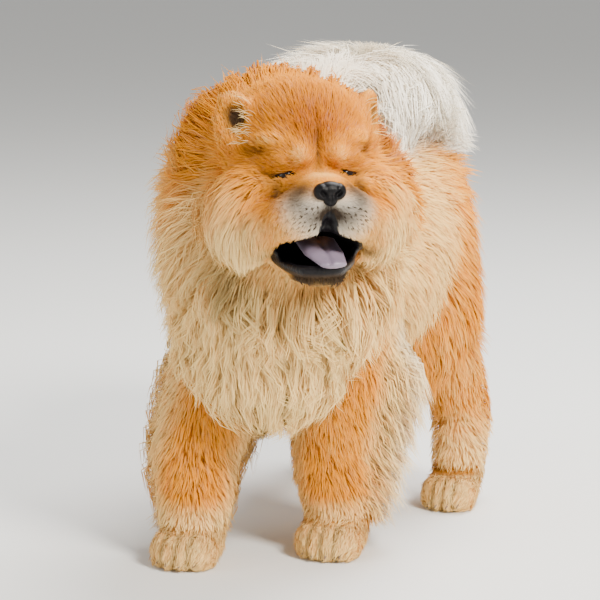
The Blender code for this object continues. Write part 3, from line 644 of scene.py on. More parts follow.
def lieAt(points, shares):
    count = len(points)
    local = toLocal(points)
    x, y, z = points.T
    side = np.clip(x / 0.1, -1, 1)
    # the body: backwards and down, and down in front of the chest
    downward = (0.35 + ramp(z, 0.46, 0.28))[:, None]
    torso = unit(ways(count, 0.0, 1.0, -0.1)) + ways(count, side * 0.25, 0.0, -1.0) * downward
    chest = ramp(y, -0.14, -0.21)[:, None]
    torso = torso * (1 - chest) + ways(count, side * 0.3, -0.25, -1.0) * chest
    made = unit(torso) * shareOf(shares, "torso")[:, None]
    # the ruff: away from the head, and down below it
    away = points - np.array(headCentre) - (0.02, -0.04, -0.01)
    away[:, 1] *= 0.6
    low = ramp(z, 0.5, 0.36)[:, None]
    ruff = unit(away) + np.array((0, 0.5, 0)) * (1 - low) + np.array((0, 0, -0.9)) * low
    made += unit(ruff) * shareOf(shares, "neck")[:, None]
    # the head: away from the nose, and down over the cheeks
    head = unit(local - (0, -0.125, -0.03))
    head[:, 0] *= 1.15
    head[:, 2] -= 1.5 * ramp(np.abs(local[:, 0]), 0.035, 0.075) * ramp(local[:, 2], 0.025, -0.035)
    head[:, 2] -= 0.5 * ramp(local[:, 2], -0.05, -0.1)
    made += turnToWorld(unit(head)) * shareOf(shares, "head", "jaw")[:, None]
    for name, sign in (("earLeft", 1), ("earRight", -1)):
        made += turnToWorld(unit(np.array((sign * 0.25, 0.12, 1.0)))) * shareOf(shares, name)[:, None]
    # the plume: forwards and out to both sides, and down at its two ends
    sideways = np.clip(x / 0.05, -1, 1)
    rear = ramp(y, 0.15, 0.28)
    fall = 0.25 - 0.3 * np.abs(sideways) - 1.1 * rear - 1.2 * ramp(y, 0.045, -0.015)
    plume = ways(count, sideways * (1 - 0.4 * rear), -0.65 * (1 - 2 * rear), fall)
    made += unit(plume) * shareOf(shares, "tail")[:, None]
    # the legs: down, and forwards over the toes
    made += unit(ways(count, side * 0.12, 0.3, -1.0)) * shareOf(shares, *legs)[:, None]
    made += unit(np.array((0.0, -0.75, -0.55))) * shareOf(shares, *paws)[:, None]
    return unit(made)


# how far a point lies from the middle of a foreleg, in x and y
def fromLeg(points, side):
    centres = np.array([centre for centre, radii in flesh["fore" + side]])[::-1]
    return (points[:, k] - np.interp(points[:, 2], centres[:, 2], centres[:, k]) for k in (0, 1))


# how far a point lies behind the middle of its foreleg, and across it
def legRear(points, shares):
    made = np.zeros(len(points))
    for side, sign in (("Left", 1), ("Right", -1)):
        dx, dy = fromLeg(points, side)
        made += shareOf(shares, "fore" + side) * (dy + 0.55 * dx * sign) / 0.04
    return made


def legAcross(points, shares):
    made = np.zeros(len(points))
    for side in ("Left", "Right"):
        dx, dy = fromLeg(points, side)
        made += shareOf(shares, "fore" + side) * (dx * 0.93 + dy * 0.37)
    return made


# under 1 inside the open mouth and the split of the lip
def mouthReach(local):
    wide = gauge(local, mouth["at"], mouth["radii"])
    split = gauge(local, mouth["splitAt"], mouth["splitRadii"])
    split = np.where(local[:, 2] > mouth["splitOver"], split, 9.0)
    return np.minimum(wide, 1 + (split - 1) * 0.4)


def fromNose(local):
    return np.linalg.norm(local - (0, -0.125, -0.035), axis=1)


# rows of whisker roots: x and z of the first, and the steps from column to column and row to row
whiskers = {
    "rows": 5, "columns": 5, "first": (0.014, -0.045),
    "column": (0.0062, -0.0012), "row": (0.001, -0.0056),
    "stray": (0.0008, 0.0007), "strength": (0.35, 0.85), "spot": 0.0012, "behind": -0.09,
}
whiskerSpots = []
for sign in (1, -1):
    for row in range(whiskers["rows"]):
        for column in range(whiskers["columns"] + row % 2):
            x, z = (
                whiskers["first"][k] + whiskers["column"][k] * column + whiskers["row"][k] * row
                + draw.normal(0, whiskers["stray"][k]) for k in (0, 1)
            )
            whiskerSpots.append((sign * x, z, draw.uniform(*whiskers["strength"])))

# markings and painted shade, as strength, middle and radii
# dark patches on the bib below the chin: painted shade under the head
shadeUnderChin = {
    "front": (0.75, (0.004, -0.262, 0.395), (0.016, 0.04, 0.04)),
    "left": (0.45, (0.085, -0.262, 0.385), (0.022, 0.04, 0.03)),
}
headGold = {
    "forehead": (0.34, (0.0, -0.06, 0.045), (0.045, 0.06, 0.03)),
    # innerBrow makes the raised brow pads paler: painted light on their tops
    "innerBrow": (-0.38, (0.0215, -0.086, 0.0135), (0.0105, 0.024, 0.012)),
    "outerBrow": (-0.342, (0.048, -0.055, 0.03), (0.019, 0.034, 0.0055)),
    "bridge": (-0.3, (0.0, -0.105, -0.01), (0.024, 0.032, 0.012)),
    "underEye": (-0.18, (0.052, -0.062, -0.017), (0.012, 0.024, 0.005)),
    "cheekbone": (0.16, (0.056, -0.06, -0.034), (0.014, 0.03, 0.008)),
}
headDarkAndShade = {
    "muzzleSide": (0.72, (0.037, -0.11, -0.035), (0.015, 0.06, 0.02)),
    "besideNose": (0.5, (0.024, -0.12, -0.024), (0.012, 0.03, 0.009)),
    "underNose": (0.98, (0.0, -0.135, -0.052), (0.013, 0.02, 0.012)),
    "lipEdge": (0.55, (0.02, -0.125, -0.058), (0.015, 0.03, 0.013)),
    # overBrow, outerEye, tear and furrow darken the face along its grooves: painted shade
    "overBrow": (0.8, (0.06, -0.045, 0.02), (0.014, 0.034, 0.006)),
    "outerEye": (0.75, (0.05, -0.06, -0.008), (0.014, 0.024, 0.004)),
    "tear": (0.6, (0.046, -0.07, -0.026), (0.006, 0.024, 0.012)),
    "furrow": (0.8, (0.0, -0.075, 0.02), (0.0045, 0.03, 0.022)),
}


# the body is golden above and on the thighs, and cream below, behind and on the chest
def bodyMarks(points, shares):
    x, y, z = points.T
    u, v, w = mirrored(toLocal(points)).T
    torso, neck, forelegs = (shareOf(shares, *names) for names in (["torso"], ["neck"], legs[:2]))
    onPaws = shareOf(shares, *paws)
    fromHead = np.linalg.norm(toLocal(points) * (1, 0.8, 1), axis=1)
    besideHead = ramp(u, 0.05, 0.09)
    rear = legRear(points, shares)

    flank = (0.22 + 0.28 * ramp(y, -0.02, 0.18)) * (0.55 + 0.45 * ramp(z, 0.28, 0.4))
    ruff = 0.12 + 0.46 * ramp(w - 0.3 * v, -0.05, 0.04) * ramp(fromHead, 0.19, 0.11)
    # deeper gold on the ruff beside the head: partly its own colour, partly painted shade behind the cheeks
    ruff += 0.48 * ramp(fromHead, 0.17, 0.11) * besideHead * ramp(w, -0.09, -0.03)
    ruff += 0.2 * ramp(y, -0.2, -0.12)
    stripe = np.exp(-(legAcross(points, shares) / 0.037) ** 4) * ramp(z, 0.056, 0.1)
    breech = ramp(y, 0.175, 0.25) * ramp(z, 0.19, 0.26)
    crease = np.exp(-((z - 0.05) / 0.005) ** 2)
    gold = torso * flank * (1 - 0.8 * ramp(y, -0.14, -0.2))
    gold += neck * np.clip(ruff, 0, 1) * (1 - 0.5 * ramp(y, -0.215, -0.235))
    gold += forelegs * (0.1 + 0.46 * stripe) * (1 - 0.75 * ramp(rear, 0.1, 0.7))
    gold += shareOf(shares, *legs[2:4]) * (0.26 + 0.26 * ramp(np.abs(x), 0.02, 0.08)) * (1 - 0.75 * breech)
    gold += shareOf(shares, *legs[4:]) * (0.12 + 0.34 * ramp(z, 0.07, 0.15))
    gold += onPaws * (0.1 + 0.45 * crease)

    pale = shareOf(shares, "tail") * 0.95 + torso * 0.75 * ramp(z - 0.15 * np.abs(x), 0.445, 0.475)
    pale += forelegs * 0.4 * ramp(rear, 0.35, 1.0)

    # painted shade on the ruff behind the cheeks
    shadeBehindCheek = ramp(fromHead, 0.17, 0.12) * besideHead * ramp(v, 0.055, 0.02)
    # the grooves between the toes are painted dark as shade
    dark = onPaws * (0.5 * toeGaps(points) + 0.3 * crease + 0.16 * ramp(z, 0.022, 0.036))
    # painted shade on the bib under the chin
    dark += (neck + torso) * bumps(points, shadeUnderChin)
    dark += neck * 0.5 * shadeBehindCheek * np.exp(-((w + 0.03) / 0.045) ** 2)
    return gold, pale, dark


# the head is rich gold round the eyes and on the crown, and paler on the cheeks and the muzzle
def headMarks(points, shares):
    local = toLocal(points)
    half = mirrored(local)
    u, v, w = half.T
    head, ears = shareOf(shares, "head", "jaw"), shareOf(shares, "earLeft", "earRight")
    chin = ramp(w, -0.075, -0.1)
    muzzle = ramp(fromNose(local), 0.066, 0.028) * ramp(w, -0.018, -0.046)

    gold = 0.66 + bumps(half, headGold) - 0.42 * ramp(u, 0.05, 0.085) * ramp(w, 0.02, -0.04)
    gold -= 0.3 * ramp(w, -0.038, -0.068) + 0.1 * chin + 0.1 * ramp(v, -0.02, 0.05)
    gold = head * np.clip(gold * (1 - 0.8 * muzzle), 0, 1)
    gold += ears * (0.5 - 0.12 * ramp(w, 0.07, 0.09))

    # dark marks of the muzzle, with painted shade in the face's grooves
    dark = bumps(half, headDarkAndShade) + 0.22 * muzzle
    dark += 0.98 * chin * ramp(v, -0.04, -0.075) * ramp(w, -0.142, -0.124)
    for x, z, strength in whiskerSpots:
        near = np.hypot(local[:, 0] - x, w - z) < whiskers["spot"]
        dark += strength * near * (v < whiskers["behind"])
    # the hollow of each ear is painted dark, partly brown hair and partly painted shade, deeper on the right
    # ear
    earHollowShade = ears * (earCup(points, "earLeft") + earCup(points, "earRight"))
    dark = head * dark + np.where(local[:, 0] < 0, 0.97, 0.6) * ramp(earHollowShade, 0.18, 0.85)
    return gold, head * 0.8 * muzzle, dark


# black lips, inside of the mouth and edges of the eyes
def blackAt(points, shares):
    local = toLocal(points)
    half = mirrored(local)
    u, v, w = half.T
    inMouth = mouthReach(local)
    lower = ramp(w, -0.09, -0.1)
    lips = ramp(inMouth, 1.12 + 0.52 * lower, 1.05 + 0.36 * lower) * ramp(v, -0.015, -0.035)
    roof = 0.08 * (v > -0.07) * (u < 0.03)
    lips = np.maximum(lips, (inMouth < 1.1 + roof) & (v < 0.02))
    lips = np.maximum(lips, bump(local, (0.0, -0.112, -0.084), (0.013, 0.02, 0.014)) > 0.4)
    lips = np.maximum(lips, bump(half, (0.03, -0.08, -0.106), (0.03, 0.04, 0.008)) > 0.45)
    black = lips * ((shareOf(shares, "head", "jaw") > 0.3) | (inMouth < 1.1))
    for sign in (1, -1):
        along, across = slitPlace(local, sign)
        edge = ramp(np.abs(across), 0.0052, 0.003) * ramp(np.abs(along), 0.0155, 0.0125)
        black = np.maximum(black, edge * (v < -0.055) * (np.abs(w + 0.008) < 0.012))
    return black


# the coat's colours, with painted shade laid into the dark share
def marksAndShadeAt(points, shares):
    gold, pale, dark = (sum(pair) for pair in zip(bodyMarks(points, shares), headMarks(points, shares)))
    return gold, pale, np.clip(dark, 0, 1), blackAt(points, shares)


def setAttribute(obj, name, values, kind="FLOAT"):
    made = obj.data.attributes.new(name, kind, "POINT")
    made.data.foreach_set("value" if kind == "FLOAT" else "vector", values.astype(np.float32).ravel())


skinPoints = pointsOf(skin)
skinNormals = normalsOf(skin)
skinShares = partShares(skinPoints)
skinLie = lieAt(skinPoints, skinShares)
skinLie = unit(skinLie - skinNormals * (skinLie * skinNormals).sum(1, keepdims=True))
# the skin takes the painted shade of a tuft's root
skinTuft = {"tip": 0.25, "vary": 0.5}  # the skin is coloured as such a place on a tuft
for name, values in zip(("gold", "pale", "dark", "black"), marksAndShadeAt(skinPoints, skinShares)):
    setAttribute(skin, name, values)
for name, value in skinTuft.items():
    setAttribute(skin, name, np.full(len(skinPoints), value))
setAttribute(skin, "lie", skinLie, "FLOAT_VECTOR")
print("markings laid")

# an unwrap of the skin, that the coat's colours are laid on
unwrap = {"angle": 75.0, "margin": 0.002}
pick(skin)
bpy.ops.object.mode_set(mode="EDIT")
bpy.ops.mesh.select_all(action="SELECT")
bpy.ops.uv.smart_project(angle_limit=math.radians(unwrap["angle"]), island_margin=unwrap["margin"])
bpy.ops.object.mode_set(mode="OBJECT")
skin.data.uv_layers[0].name = "OFBake"
print("skin unwrapped")

# the coat's colours
coatLook = {
    "cream": (1.0, 0.7, 0.27), "gold": (0.83, 0.3, 0.006), "deep": (0.37, 0.088, 0.0),
    "white": (1.0, 0.95, 0.84), "brown": (0.038, 0.026, 0.018), "black": (0.006, 0.005, 0.006),
    "patches": {"scale": 11.0, "detail": 3.0}, "patchGold": 0.35, "tuftGold": 0.24, "tipGold": 0.3,
    # the root of each tuft is painted darker, as shade deep in the coat
    "tuftPale": 0.15, "tuftShade": 0.16, "paintedRootShade": 0.82,
}
furLook = {"Roughness": 0.85, "Specular IOR Level": 0.05}
skinLook = {"rough": 0.75, "lipGloss": 0.4, "grain": 420.0, "detail": 2.0, "strength": 0.5, "depth": 0.0012}


def coatColour(tree):
    gold, pale, dark, tip, vary = (readValue(tree, name) for name in ("gold", "pale", "dark", "tip", "vary"))
    patches = noise(tree, **coatLook["patches"])
    shares = gold + (patches - 0.5) * coatLook["patchGold"] + (vary - 0.5) * coatLook["tuftGold"]
    shares = shares - (tip - 0.6) * coatLook["tipGold"]
    colour = mixColour(tree, shares * 2, coatLook["cream"], coatLook["gold"])
    colour = mixColour(tree, shares * 2 - 1, colour, coatLook["deep"])
    colour = mixColour(tree, pale + (vary - 0.5) * coatLook["tuftPale"], colour, coatLook["white"])
    # dark marks and painted shade in hollows and creases turn the coat brown
    colour = mixColour(tree, dark, colour, coatLook["brown"])
    # each tuft is painted darker towards its root, as shade deep in the coat, and lighter or darker at random
    shade = coatLook["paintedRootShade"] + tip * (1 - coatLook["paintedRootShade"]) + (vary - 0.5) * coatLook["tuftShade"]
    grey = addNode(tree, "ShaderNodeCombineColor", {}, {"Red": shade, "Green": shade, "Blue": shade})
    return mixColour(tree, 1.0, colour, grey, "MULTIPLY")


furMaterial, tree, sockets = newMaterial("furStrands", furLook)
plug(tree, sockets["Base Color"], coatColour(tree))

skinMaterial, tree, sockets = newMaterial("shortCoat", {"Specular IOR Level": 0.15})
black = readValue(tree, "black")
plug(tree, sockets["Base Color"], mixColour(tree, black, coatColour(tree), coatLook["black"]))
plug(tree, sockets["Roughness"], skinLook["rough"] - black * skinLook["lipGloss"])
grain = noise(tree, skinLook["grain"], skinLook["detail"])
plug(tree, sockets["Normal"], relief(tree, grain, skinLook["strength"], skinLook["depth"]))
skin.data.materials.clear()
skin.data.materials.append(skinMaterial)
skin.data.polygons.foreach_set("material_index", np.zeros(len(skin.data.polygons), np.int32))

# the skin's triangles, which the tufts are rooted in
skin.data.calc_loop_triangles()
skinCorners, skinLoops = (
    readAll(skin.data.loop_triangles, name, kind=np.int32) for name in ("vertices", "loops")
)
uv = readAll(skin.data.uv_layers["OFBake"].data, "uv", 2)
first, second, third = (skinPoints[skinCorners[:, i]] for i in range(3))
faceAreas = np.linalg.norm(np.cross(second - first, third - first), axis=1) / 2
faceMiddles = (first + second + third) / 3
faceShares = skinShares[skinCorners[:, 0]]
faceLie = unit(skinLie[skinCorners].mean(1))
faceNormals = unit(skinNormals[skinCorners].mean(1))
skinTree = BVHTree.FromPolygons([tuple(point) for point in skinPoints], skinCorners.tolist())


# roots spread over the skin: their places, the skin's normals there, and their places on the unwrap
def scatter(weights, count):
    chance = faceAreas * weights
    ids = np.searchsorted(np.cumsum(chance) / chance.sum(), draw.random(count))
    ids = np.minimum(ids, len(faceAreas) - 1)
    mix = draw.random((count, 2))
    flip = mix.sum(1) > 1
    mix[flip] = 1 - mix[flip]
    mix = np.concatenate([1 - mix.sum(1, keepdims=True), mix], 1)
    at, normal, patch = (
        (values[corners[ids]] * mix[:, :, None]).sum(1)
        for values, corners in ((skinPoints, skinCorners), (skinNormals, skinCorners), (uv, skinLoops))
    )
    return at, unit(normal), patch


# depth of the coat over the skin, and how far a tuft runs along the skin, in each part
partCoat = {
    "torso": (0.046, 0.044), "neck": (0.068, 0.056), "tail": (0.068, 0.056),
    "head": (0.01, 0.016), "jaw": (0.006, 0.012),
}
for side in ("Left", "Right"):
    partCoat["ear" + side] = (0.0035, 0.01)
    partCoat["fore" + side] = (0.012, 0.024)
    partCoat["thigh" + side] = (0.026, 0.042)
    partCoat["shank" + side] = (0.012, 0.026)
partCoat.update(dict.fromkeys(paws, (0.005, 0.013)))
# on the head both grow with the distance from the nose
headCoat = {
    "depth": ([0.0, 0.045, 0.065, 0.09, 0.12], [0.001, 0.0016, 0.0028, 0.005, 0.0075]),
    "run": ([0.0, 0.045, 0.09, 0.16], [0.0035, 0.006, 0.012, 0.026]),
    "nape": 0.024, "cheek": 0.01, "featherDepth": 0.046, "featherRun": 0.03,
}


def coatAt(points, shares):
    local = toLocal(points)
    z = points[:, 2]
    depth, run = (shares @ np.array([partCoat[name] for name in partNames])).T
    head = shareOf(shares, "head", "jaw")
    gap = fromNose(local)
    cheek = ramp(np.abs(local[:, 0]), 0.045, 0.08) * ramp(local[:, 2], 0.01, -0.04)
    onHead = np.interp(gap, *headCoat["depth"]) + headCoat["nape"] * ramp(local[:, 1], -0.005, 0.06)
    onHead = onHead * (1 + 1.5 * cheek) + headCoat["cheek"] * cheek
    onRun = np.interp(gap, *headCoat["run"]) * (1 + 0.7 * cheek)
    depth = depth * (1 - head) + onHead * head
    run = run * (1 - head) + onRun * head
    # the feathers behind the forelegs
    feather = shareOf(shares, "foreLeft", "foreRight") * ramp(legRear(points, shares), 0.0, 0.9)
    depth = depth + headCoat["featherDepth"] * feather * ramp(z, 0.3, 0.24)
    run = run + headCoat["featherRun"] * feather
    # shorter down to the pasterns
    onPaws = shareOf(shares, *paws)
    low = (0.62 + 0.38 * ramp(z, 0.05, 0.12)) * (1 - onPaws) + onPaws
    return depth * low, run * low


# guides: long hairs that walk over the skin along the lie of the coat and rise from it
def makeGuides(weights, count, form):
    steps = form["steps"]
    at, outward, _ = scatter(weights, count)
    depth, run = coatAt(at, partShares(at))
    depth *= draw.uniform(0.9, 1.06, count)
    run *= draw.uniform(0.8, 1.2, count)
    turn = draw.normal(0, form["wander"], count)
    phase = draw.uniform(0, 2 * math.pi, count)
    swing = draw.normal(0, 1.0, count)
    paths = np.empty((count, steps + 1, 3))
    across = np.empty((count, steps + 1, 3))
    for i in range(count):
        here = Vector(at[i])
        for k in range(steps + 1):
            foot, _, index, _ = skinTree.find_nearest(here)
            share = k / steps
            along, up = faceLie[index], faceNormals[index]
            across[i, k] = np.cross(along, up)
            height = depth[i] * (1 - (1 - share) ** 1.8)
            curl = math.sin(form["turns"] * 2 * math.pi * share + phase[i]) * share * swing[i]
            curl *= form["wave"] * (depth[i] + run[i])
            paths[i, k] = np.array(foot) + up * height + across[i, k] * curl
            bent = along + across[i, k] * turn[i]
            here = Vector(np.array(foot) + bent * (run[i] / steps) * (0.5 + share))
    return at, outward, paths, across, np.hypot(depth, run), draw.random(count)


limitLow = np.array(cadBox[0]) - np.array(offset) - 0.01
limitHigh = np.array(cadBox[1]) - np.array(offset) + 0.01


# a tuft that would pass the outline of the coat is drawn back
def drawBack(at, path):
    away = path - at[:, None]
    limit = np.where(away > 0, limitHigh - at[:, None], limitLow - at[:, None])
    room = limit / np.where(np.abs(away) < 1e-5, 1e-5, away)
    return at[:, None] + away * np.clip(room.min(axis=(1, 2)), 0.3, 1.0)[:, None, None]


# tufts between the guides, each a mix of the three nearest and gathered to the nearest one
def growTufts(weights, count, guides, form):
    steps = form["steps"]
    guideAt, guideOut, guidePaths, guideSides, guideLength, guideVary = guides
    lookup = KDTree(len(guideAt))
    for i, place in enumerate(guideAt):
        lookup.insert(place, i)
    lookup.balance()
    at, normal, patch = scatter(weights, count)
    hits = [lookup.find_n(place, 3) for place in at]
    found = np.array([[hit[1] for hit in three] for three in hits])
    mix = 1 / (np.array([[hit[2] for hit in three] for three in hits]) + 0.001) ** 2
    mix /= mix.sum(1, keepdims=True)
    nearest = found[:, 0]

    def blended(values):
        shape = (-1,) + (1,) * (values.ndim - 1)
        return sum(values[found[:, k]] * mix[:, k].reshape(shape) for k in range(3))

    shares = partShares(at)
    *marks, black = marksAndShadeAt(at, shares)
    length = np.hypot(*coatAt(at, shares))
    scale = draw.uniform(*form["scale"], count) ** 0.8 * np.clip(length / guideLength[nearest], 0.4, 1.4)
    scale = scale[:, None, None]
    rings = np.array([0.0] + form["rings"] + [1.0])
    ahead = rings * steps
    lowStep = np.minimum(ahead.astype(int), steps - 1)
    share = (ahead - lowStep)[None, :, None]
    relative = guidePaths[:, lowStep] * (1 - share) + guidePaths[:, lowStep + 1] * share - guidePaths[:, :1]
    reach = blended(relative) * scale
    turn = (normal - blended(guideOut))[:, None]
    spread = at[:, None] + reach + turn * np.linalg.norm(reach, axis=-1, keepdims=True) * 0.6
    locked = guidePaths[nearest][:, :1] + relative[nearest] * scale
    path = spread + (locked - spread) * form["clump"] * (rings ** 1.4)[None, :, None]
    frizz = draw.normal(0, form["frizz"], (count, 1, 3)) * (rings ** 1.3)[None, :, None]
    frizz = frizz + draw.normal(0, form["frizz"] * 0.5, (count, len(rings), 3)) * rings[None, :, None]
    path = path + frizz * length[:, None, None]
    path[:, 0] = at - normal * 0.002
    path = drawBack(at, path)
    # no tuft stands on the lips or runs into the open mouth
    keep = black < 0.35
    for k in (-2, -1):
        keep &= mouthReach(toLocal(path[:, k])) > 0.98
    return {
        "normal": normal, "patch": patch, "path": path, "across": blended(guideSides[:, lowStep]),
        "keep": keep, "marks": marks, "rings": rings,
        "vary": guideVary[nearest] * 0.5 + draw.random(count) * 0.5,
    }


# the width of a tuft from its root to its tip
def blunt(rings):
    return np.interp(rings, [0, 0.3, 0.6, 0.85, 1.0], [0.8, 1.0, 1.0, 0.6, 0.1])


# faces of all tufts: three walls round each, drawn together at the root and the tip
def tuftFaces(count, stations):
    perTuft, around = 3 * stations - 4, ((0, 1), (1, 2), (2, 0))
    walls = [(3 * k + 1 + i, 3 * k + 1 + j, 3 * k + 4 + j, 3 * k + 4 + i)
             for k in range(stations - 3) for i, j in around]
    ends = [(1 + j, 1 + i, 0) for i, j in around]
    ends += [(perTuft - 4 + i, perTuft - 4 + j, perTuft - 1) for i, j in around]
    starts = (np.arange(count) * perTuft)[:, None, None]
    quads = (np.array(walls, int).reshape(1, -1, 4) + starts).reshape(-1, 4)
    triangles = (np.array(ends)[None] + starts).reshape(-1, 3)
    # the third wall and the third end face lie below
    below = np.concatenate([
        np.repeat(np.tile(np.arange(len(walls)) % 3 == 2, count), 4),
        np.repeat(np.tile(np.arange(len(ends)) % 3 == 2, count), 3),
    ])
    return quads, triangles, below


patchSize = 0.003


# one mesh of many tufts
def buildCoat(name, tufts, form, width):
    keep, rings = tufts["keep"], tufts["rings"]
    path, across, normal, patch = (tufts[key][keep] for key in ("path", "across", "normal", "patch"))
    count, stations = len(path), len(rings)
    path[:, :, 2] = np.maximum(path[:, :, 2], 0.001)
    along = unit(np.gradient(path, axis=1))
    side = unit(across - along * (across * along).sum(-1, keepdims=True))
    roll = draw.normal(0, 0.35, (count, 1, 1))
    up = np.cross(side, along)
    side, up = side * np.cos(roll) + up * np.sin(roll), up * np.cos(roll) - side * np.sin(roll)
    flip = np.where((up[:, -1:] * normal[:, None]).sum(-1, keepdims=True) < 0, -1.0, 1.0)
    up, side = up * flip, side * flip
    width = width * draw.uniform(0.7, 1.3, (count, 1, 1)) * blunt(rings)[None, :, None]
    middle, ringSide, ringUp, ringWidth = (part[:, 1:-1] for part in (path, side, up, width))
    left, right = middle - ringSide * ringWidth / 2, middle + ringSide * ringWidth / 2
    rows = np.stack([left, middle + ringUp * ringWidth * 0.3, right], 2).reshape(count, -1, 3)
    points = np.concatenate([path[:, :1], rows, path[:, -1:]], 1)
    perTuft = points.shape[1]
    quads, triangles, below = tuftFaces(count, stations)

    mesh = bpy.data.meshes.new(name)
    mesh.vertices.add(count * perTuft)
    mesh.vertices.foreach_set("co", points.astype(np.float32).ravel())
    loops = np.concatenate([quads.ravel(), triangles.ravel()])
    mesh.loops.add(len(loops))
    mesh.loops.foreach_set("vertex_index", loops.astype(np.int32))
    sizes = np.repeat([4, 3], [len(quads), len(triangles)])
    mesh.polygons.add(len(sizes))
    mesh.polygons.foreach_set("loop_start", np.concatenate([[0], np.cumsum(sizes)[:-1]]).astype(np.int32))
    mesh.polygons.foreach_set("use_smooth", np.ones(len(sizes), bool))
    mesh.update(calc_edges=True)
    coat = bpy.data.objects.new(name, mesh)
    bpy.context.scene.collection.objects.link(coat)

    # what the colours read, and a small patch for each tuft at its root's place on the skin's unwrap
    tip = np.concatenate([[0.0], np.repeat(rings[1:-1], 3), [1.0]])
    setAttribute(coat, "tip", np.tile(tip, count))
    for mark, values in zip(("vary", "gold", "pale", "dark"), [tufts["vary"], *tufts["marks"]]):
        setAttribute(coat, mark, np.repeat(values[keep], perTuft))
    sideways = np.concatenate([[0.0], np.tile([-1.0, 0.0, 1.0], stations - 2), [0.0]]) * patchSize / 2
    spots = patch[:, None] + np.stack([sideways, (tip - 0.5) * patchSize], 1)[None]
    layer = mesh.uv_layers.new(name="OFBake")
    layer.data.foreach_set("uv", spots.reshape(-1, 2)[loops].astype(np.float32).ravel())

    # the shading of a tuft leans towards that of the coat as a whole, so the coat looks soft
    own = np.stack([-ringSide, ringUp, ringSide], 2).reshape(count, -1, 3)
    own = np.concatenate([up[:, :1], own, up[:, -1:]], 1)
    whole = unit(normal[:, None] + 0.35 * up[:, -1:])
    soft = unit(own * (1 - form["soft"]) + whole * form["soft"]).reshape(-1, 3)
    under = -np.concatenate([up[:, :1], np.repeat(ringUp, 3, axis=1), up[:, -1:]], 1).reshape(-1, 3)
    mesh.normals_split_custom_set(np.where(below[:, None], under[loops], soft[loops]))
    mesh.materials.append(furMaterial)
    print("coat", name, "tufts", count, "triangles", len(quads) * 2 + len(triangles))
    return coat


# forms of tufts, and how far their guides stray from the lie of the coat and wave
short = {
    "steps": 3, "rings": [0.4], "clump": 0.15, "frizz": 0.09, "scale": (0.5, 1.15), "soft": 0.75,
    "wander": 0.1, "wave": 0.0, "turns": 1,
}
medium = {**short, "steps": 4, "rings": [0.5], "frizz": 0.04, "scale": (0.5, 1.08), "wander": 0.12}
long = {
    "steps": 6, "rings": [0.6], "clump": 0.2, "frizz": 0.045, "scale": (0.45, 1.03), "soft": 0.8,
    "wander": 0.14, "wave": 0.02, "turns": 1,
}
wavy = {
    "steps": 10, "rings": [0.35, 0.6, 0.8], "clump": 0.86, "frizz": 0.03, "scale": (0.55, 1.05),
    "soft": 0.7, "wander": 0.2, "wave": 0.1, "turns": 1.7,
}


def maskOf(*names):
    return shareOf(faceShares, *names)


faceLocal = toLocal(faceMiddles)
faceOut = faceNormals @ np.array(headPlace)[:3, :3]
mouthWall = ((faceLocal - mouth["at"]) * faceOut).sum(1) < 0  # these faces look into the mouth
openSkin = (mouthReach(faceLocal) > 1.06) & ~(mouthWall & (mouthReach(faceLocal) < 1.35))
head = maskOf("head", "jaw") * openSkin
nearNose = fromNose(faceLocal) < 0.085
highFace = faceLocal[:, 2] > -0.01
neck, torso = maskOf("neck"), maskOf("torso")
frontNeck, frontChest = (ramp(faceMiddles[:, 1], *ends) for ends in ((-0.165, -0.215), (-0.16, -0.21)))
sides = torso * (faceMiddles[:, 1] > -0.2)
leftSide = faceMiddles[:, 0] > 0.0
overSoles = faceMiddles[:, 2] > 0.004
# where each piece of the coat grows, its tufts and guides, a tuft's form and width, and its slot
coats = {
    "faceCoat": (head * nearNose, 24000, 3000, short, 0.001, "golden_coat"),
    "browCoat": (head * ~nearNose * highFace, 23000, 2400, short, 0.0013, "golden_coat"),
    "cheekCoat": (head * ~nearNose * ~highFace, 19000, 1400, medium, 0.0015, "golden_coat"),
    "earCoat": (maskOf("earLeft", "earRight"), 8000, 900, short, 0.0011, "golden_coat"),
    "ruffLeft": (neck * leftSide * (1 - frontNeck), 18000, 900, long, 0.0016, "golden_coat"),
    "ruffRight": (neck * ~leftSide * (1 - frontNeck), 18000, 900, long, 0.0016, "golden_coat"),
    "bib": (neck * frontNeck + torso * frontChest, 8500, 560, wavy, 0.0014, "cream_coat"),
    "sideLeft": (sides * leftSide, 19000, 1100, long, 0.0016, "golden_coat"),
    "sideRight": (sides * ~leftSide, 18000, 1100, long, 0.0016, "golden_coat"),
    "plume": (maskOf("tail"), 22000, 900, {**long, "wander": 0.16}, 0.0018, "white_coat"),
    "forelegCoat": (maskOf(*legs[:2]), 23000, 1800, medium, 0.0017, "golden_coat"),
    "hindCoat": (maskOf(*legs[2:]), 21000, 1800, medium, 0.0018, "golden_coat"),
    "pawCoat": (maskOf(*paws) * overSoles, 13000, 1800, short, 0.0012, "cream_coat"),
}
made = []
for name, (weights, count, guideCount, form, width, slot) in coats.items():
    guides = makeGuides(weights, guideCount, form)
    tufts = growTufts(weights, count, guides, form)
    made.append((buildCoat(name, tufts, form, width), slot))

# long pale hairs that cross the hollow of each ear
earHair = {
    "tufts": 64, "width": 0.0006, "long": (0.014, 0.03), "mark": 0.1, "darkest": 0.25,
    "way": (0.85, -0.3, 0.25), "stray": (0.15, 0.1, 0.3), "bow": (-0.05, 0.25),
}


